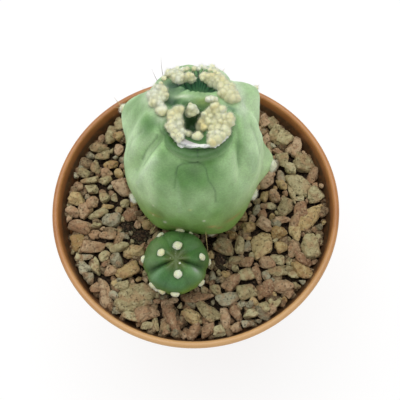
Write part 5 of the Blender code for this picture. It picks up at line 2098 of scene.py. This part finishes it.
@dataclass
class TornRim:
    """The dry white skin that curls back along the front head's torn rim."""

    stem: Stem
    # Across, back and width of the strip along the rim.
    path: Rows = (
        (-6.3, -8.4, 0.7), (-5.6, -10.1, 2.3), (-4.5, -11.5, 2.9), (-2.8, -12.2, 2.4), (-1.2, -12.4, 1.2),
        (0.6, -12.6, 0.55), (2.4, -12.8, 0.8), (4.4, -13.0, 1.3), (6.4, -12.2, 1.4), (7.9, -10.9, 1.0),
        (9.2, -9.0, 0.6), (9.6, -7.6, 0.4))
    steps: int = 200
    rows: int = 11
    thickness: float = 0.22 * MM
    arch: float = 0.42 * MM
    smoothing: int = 15
    seed: int = 71

    def make(self) -> None:
        """Make the ragged strip, give it a thickness and dress it."""
        stops = np.array(self.path)
        travel = np.concatenate(([0.0], np.cumsum(np.hypot(*np.diff(stops[:, :2], axis=0).T))))
        along = np.linspace(0.0, travel[-1], self.steps)
        x, y, width = (np.interp(along, travel, column) for column in stops.T)
        kernel = np.hanning(self.smoothing) / np.hanning(self.smoothing).sum()
        ends = self.smoothing // 2
        x, y, width = (np.convolve(np.pad(line, ends, "edge"), kernel, "valid") for line in (x, y, width))
        side = np.column_stack((np.gradient(y), -np.gradient(x)))
        side /= np.linalg.norm(side, axis=1)[:, None]
        line = np.column_stack((along, 0.0 * along, 0.0 * along)) * MM
        rag = 0.16 * waves(line, 1.2 * MM, 10, self.seed)
        rag += 0.12 * waves(line, 0.45 * MM, 12, self.seed + 1)
        points = []
        for row in range(self.rows):
            share = row / (self.rows - 1)
            for step in range(self.steps):
                out = (share - 0.5) * width[step] + rag[step] * (share - 0.2)
                place, _ = self.stem.on_crown(x[step] + side[step, 0] * out, y[step] + side[step, 1] * out)
                curl = self.arch * math.sin(math.pi * min(1.0, share * 0.85 + 0.1)) * min(1.0, width[step])
                points.append((place.x, place.y, place.z + curl + 0.1 * MM))
        faces = [(row * self.steps + step, row * self.steps + step + 1,
                  (row + 1) * self.steps + step + 1, (row + 1) * self.steps + step)
                 for row in range(self.rows - 1) for step in range(self.steps - 1)]
        rim = mesh_object("torn_rim", np.array(points), faces)
        # Painted shade along the strip's inner edge, on its left part.
        inner = (1.0 - ramp(np.arange(self.rows) / self.rows, 0.25, 0.6))[:, None]
        keep(rim, "inner", inner * (1.0 - ramp(x, -2.0, 1.0)))
        solidify = rim.modifiers.new("thickness", "SOLIDIFY")
        solidify.thickness = self.thickness
        solidify.offset = 0.0
        rim.data.materials.append(PaperFinish().make())
        settle(rim)
        rim.data.shade_smooth()
        dress(rim, "stem")


@dataclass
class Offset:
    """The small round offset with eight ribs and felted areoles."""

    stem: Stem
    form: Barrel = Barrel(foot=(-8.5 * MM, -21.3 * MM), lean=(0.9 * MM, -3.7 * MM), radius=11.6 * MM,
                          waist=8.0 * MM, rise=11.4 * MM, root=14.0 * MM, squareness=(2.25, 2.25),
                          lean_height=19.4 * MM)
    ribs: tuple[float, ...] = (2, 50, 86, 135, 174, 222, 270, 317)
    grooves: tuple[float, ...] = (0.8, 0.7, 0.8, 0.8, 2.7, 0.9, 0.9, 2.7)
    dimple: float = 0.9 * MM
    columns: int = 256
    ring_step: float = 0.26 * MM
    # Angle, latitude and radius of each.
    areoles: Rows = (
        (150, 63, 1.5), (80, 68, 1.65), (2, 43, 1.35), (-87, 66, 1.5), (171, 12, 1.4), (-138, 8, 1.45),
        (-131, 2, 1.3), (-119, 5, 1.45), (-95, 12, 1.6), (-45, 6, 1.45), (79, 17, 1.7), (116, 18, 1.5),
        (59, 12, 0.9), (-5, 4, 1.2))
    felt: Felt = Felt(lobes=16, lobe_width=0.34, lobe_rise=0.16, density=34.0, length=0.26 * MM,
                      girth=0.014 * MM, spread=0.8, warmth=0.34, grain=0.14 * MM)
    heart: tuple[float, ...] = (0.18, 0.15, 0.2, 0.15, 0.42)
    # Angle, latitude, half width, half height, tone and strength of each: the teal front ribs and the
    # yellow-green foot are the skin's own colour; the pale bands under the two deep grooves are painted
    # reflections, the grey spot on the right is a painted highlight, and the other lighter patches are
    # painted light on the ribs.
    tones: tuple[tuple[float, float, float, float, Colour, float], ...] = (
        (-110, 30, 40, 30, linear(70, 124, 78), 0.55), (150, 42, 40, 26, linear(120, 148, 92), 0.55),
        (-148, 40, 10, 26, linear(132, 176, 130), 0.7), (-34, 42, 10, 22, linear(144, 176, 134), 0.7),
        (-32, 50, 5, 8, linear(186, 186, 190), 0.6), (48, 50, 30, 20, linear(116, 150, 106), 0.5),
        (-2, 35, 14, 18, linear(104, 136, 78), 0.5), (180, 38, 16, 26, linear(112, 146, 96), 0.5),
        (-70, 2, 46, 18, linear(150, 180, 60), 0.8))
    seed: int = 81

    def groove(self, angle: np.ndarray) -> Arrays:
        """How deep the skin lies between the ribs.

        Args:
            angle: Angles in degrees.

        Returns:
            The depth, below 0, and how near each angle is to a groove's bottom, 0 to 1.
        """
        depth_sum = np.zeros(np.shape(angle))
        nearness = np.zeros(np.shape(angle))
        ribs = (*self.ribs, self.ribs[0] + 360)
        for low, high, depth in zip(ribs, ribs[1:], self.grooves):
            half = (high - low) / 2.0
            aside = np.abs(turn_between(angle, low + half)) / half
            close = np.clip(1.0 - aside, 0.0, 1.0)
            depth_sum -= depth * MM * close ** 2.0
            nearness += bell((1.0 - close) / 0.28) * min(1.0, max(0.0, depth - 0.6) / 2.0)
        return depth_sum, nearness

    def skin(self, angle: np.ndarray, latitude: np.ndarray) -> tuple[np.ndarray, ...]:
        """Places of the bare skin.

        Args:
            angle: Angles in degrees.
            latitude: Latitudes in degrees.

        Returns:
            Points, outward directions, and nearness to a groove.
        """
        radius, height, out, up = self.form.section(latitude)
        turn = np.radians(angle)
        depth, near = self.groove(angle)
        reaching = ramp(latitude, -50.0, -10.0) * (0.3 + 0.7 * ramp(latitude, 4.0, 40.0))
        reaching = reaching * (1.0 - ramp(latitude, 68.0, 90.0))
        relief = depth * reaching - self.dimple * ramp(latitude, 66.0, 90.0)
        points, normals = self.form.stand(turn, radius + relief * out, height + relief * up, out, up)
        return points, normals, near * reaching

    def colours(self, points: np.ndarray, angle: np.ndarray, latitude: np.ndarray, near: np.ndarray
                ) -> np.ndarray:
        """Paint the skin: deep green, lighter at the front ribs, yellow-green at its foot, with painted light
        on the ribs and painted shade in the grooves and round the areoles.

        Args:
            points: The skin's points.
            angle: Angle of each in degrees.
            latitude: Latitude of each in degrees.
            near: Nearness of each to a groove.

        Returns:
            One linear colour for each point.
        """
        patchy = waves(points, 5.0 * MM, 14, 91)
        colour = blend(linear(70, 116, 56), linear(102, 146, 84), np.clip(0.35 + 0.3 * patchy, 0, 1))
        # Own tones and painted light, reflections and highlights on the ribs, the yellow-green foot, the
        # growing point, painted shadow rings round the areoles, and painted shade in the grooves.
        layers = [
            *((tone, share * spot(angle, latitude, where)) for *where, tone, share in self.tones),
            (linear(104, 146, 54), 0.6 * (1.0 - ramp(latitude, 0.0, 26.0))),
            (linear(88, 92, 42), 0.7 * ramp(latitude, 62.0, 82.0)),
        ]
        for centre, high, radius in self.areoles:
            place = self.skin(float(centre), high)[0]
            away = np.linalg.norm(points - place, axis=-1) / (radius * MM)
            # Painted shadow in a dark ring round the areole.
            layers.append((linear(44, 74, 38), 0.4 * bell((away - 1.15) / 0.35)))
        # The last layer is painted shade at the bottoms of the grooves.
        for tone, share in (*layers, (linear(38, 66, 34), 0.65 * np.clip(near, 0.0, 1.0))):
            colour = blend(colour, tone, share)
        return colour

    def make(self) -> None:
        """Make the skin, the areoles and the growing point."""
        latitude = self.form.even_latitudes(self.ring_step, -45.0, 89.0)[:, None]
        angle = np.linspace(0.0, 360.0, self.columns, endpoint=False)[None, :]
        points, normals, near = self.skin(angle, latitude)
        relief = 0.06 * MM * waves(points, 2.4 * MM, 18, 92) + 0.03 * MM * waves(points, 0.9 * MM, 20, 93)
        points = points + relief[..., None] * normals
        grid = (np.broadcast_to(angle, near.shape), np.broadcast_to(latitude, near.shape))
        colours = self.colours(points, *grid, near)
        finish = SkinFinish("waxy offset skin", roughness=0.42, dots=linear(150, 180, 130),
                            dot_share=0.25, mottle=0.10)
        dress_skin("offset_skin", points, colours, finish, "offset")
        tufts = []
        for angle, height, radius in self.areoles:
            place, up, _ = self.skin(float(angle), height)
            tufts.append(Tuft(Vector(place), (radius, radius, radius * 0.62), Vector(up)))
        for number, radius in enumerate(self.heart):
            place, up, _ = self.skin(number * 72.0 + 20.0, 82.0)
            tufts.append(Tuft(Vector(place), (radius, radius, radius), Vector(up)))
        dress(self.felt.make("offset_areoles", tufts, self.seed), "offset")


def dress_soil() -> None:
    """Give the packed soil, which shows through the drain holes, its finish."""
    soil = frame["nodes"]["soil"]
    material = SoilFinish().make()
    for place in range(len(soil.material_slots)):
        soil.material_slots[place].material = material


def fleeces(stem: Stem) -> list[Fleece]:
    """The bunches of the crown's wool, with the place of each tuft across the crown."""
    return [
        Fleece(stem, "wool_front_left", size=1.35, warmth=0.3, seed=100, crowd=2, soft=26, tufts=(
            (-4.9, -1.1), (-5.4, -1.7), (-6.5, -2.5), (-6.9, -3.9), (-7.0, -5.5), (-6.7, -6.9), (-6.0, -8.3),
            (-5.1, -9.5), (-5.4, -3.4), (-5.2, -4.8), (-5.2, -6.5), (-4.7, -8.1), (-1.7, -1.0), (-0.3, -0.7),
            (-1.0, -0.3))),
        Fleece(stem, "wool_front_right", size=1.3, warmth=0.5, seed=101, crowd=0, soft=9, tufts=(
            (6.0, -1.1), (4.7, -1.7), (6.5, -2.1), (8.0, -2.2), (3.3, -2.6), (5.2, -3.3), (7.2, -4.1),
            (8.8, -4.8), (9.7, -4.9), (9.7, -6.2), (2.2, -4.1), (1.8, -5.4), (2.9, -6.7), (4.3, -5.1),
            (6.3, -5.8), (7.9, -6.1), (9.1, -6.7), (5.4, -7.8), (7.0, -8.0), (8.4, -8.6), (4.8, -9.7),
            (6.2, -9.8), (7.4, -10.1), (8.7, -9.4), (4.4, -11.2), (5.7, -11.2), (4.1, -12.0))),
        Fleece(stem, "wool_rear_right", size=1.3, warmth=0.38, seed=102, crowd=2, soft=22, tufts=(
            (3.7, 10.2), (4.9, 9.7), (6.2, 9.7), (6.4, 8.8), (7.5, 8.9), (7.8, 7.3), (8.7, 7.3), (8.4, 5.4),
            (10.0, 6.1), (9.7, 4.2), (10.9, 4.3), (10.8, 2.7), (12.0, 2.9), (11.3, 1.2), (12.5, 1.4),
            (9.9, 1.6), (8.6, 3.0))),
        Fleece(stem, "wool_rear_left", size=1.3, warmth=0.2, seed=103, crowd=2, soft=22, tufts=(
            (-5.3, 9.8), (-3.8, 10.3), (-2.7, 10.0), (-1.1, 10.8), (-0.3, 10.4), (-4.0, 8.9), (-5.9, 11.2))),
        Fleece(stem, "wool_left_shoulder", size=1.4, warmth=0.15, seed=104, crowd=2, soft=26, tufts=(
            (-10.2, 6.1), (-9.2, 5.8), (-11.2, 4.9), (-9.9, 4.5), (-9.1, 4.2), (-11.7, 3.3), (-10.5, 2.9),
            (-11.5, 1.7), (-10.5, 1.4), (-12.3, 4.6))),
    ]


def main() -> None:
    """Build the studio and every piece in order."""
    Viewpoint().make()
    Studio().make()
    pot = Pot()
    pot.make()
    dress_soil()
    Stones(pot).make()
    Crumbs().make()
    stem = Stem()
    stem.make()
    StemAreoles(stem).make()
    Spines(stem).make()
    TornRim(stem).make()
    for bunch in fleeces(stem):
        bunch.make()
    Offset(stem).make()


if __name__ == "__main__":
    logging.basicConfig(level=logging.INFO, format="%(name)s %(message)s")
    main()
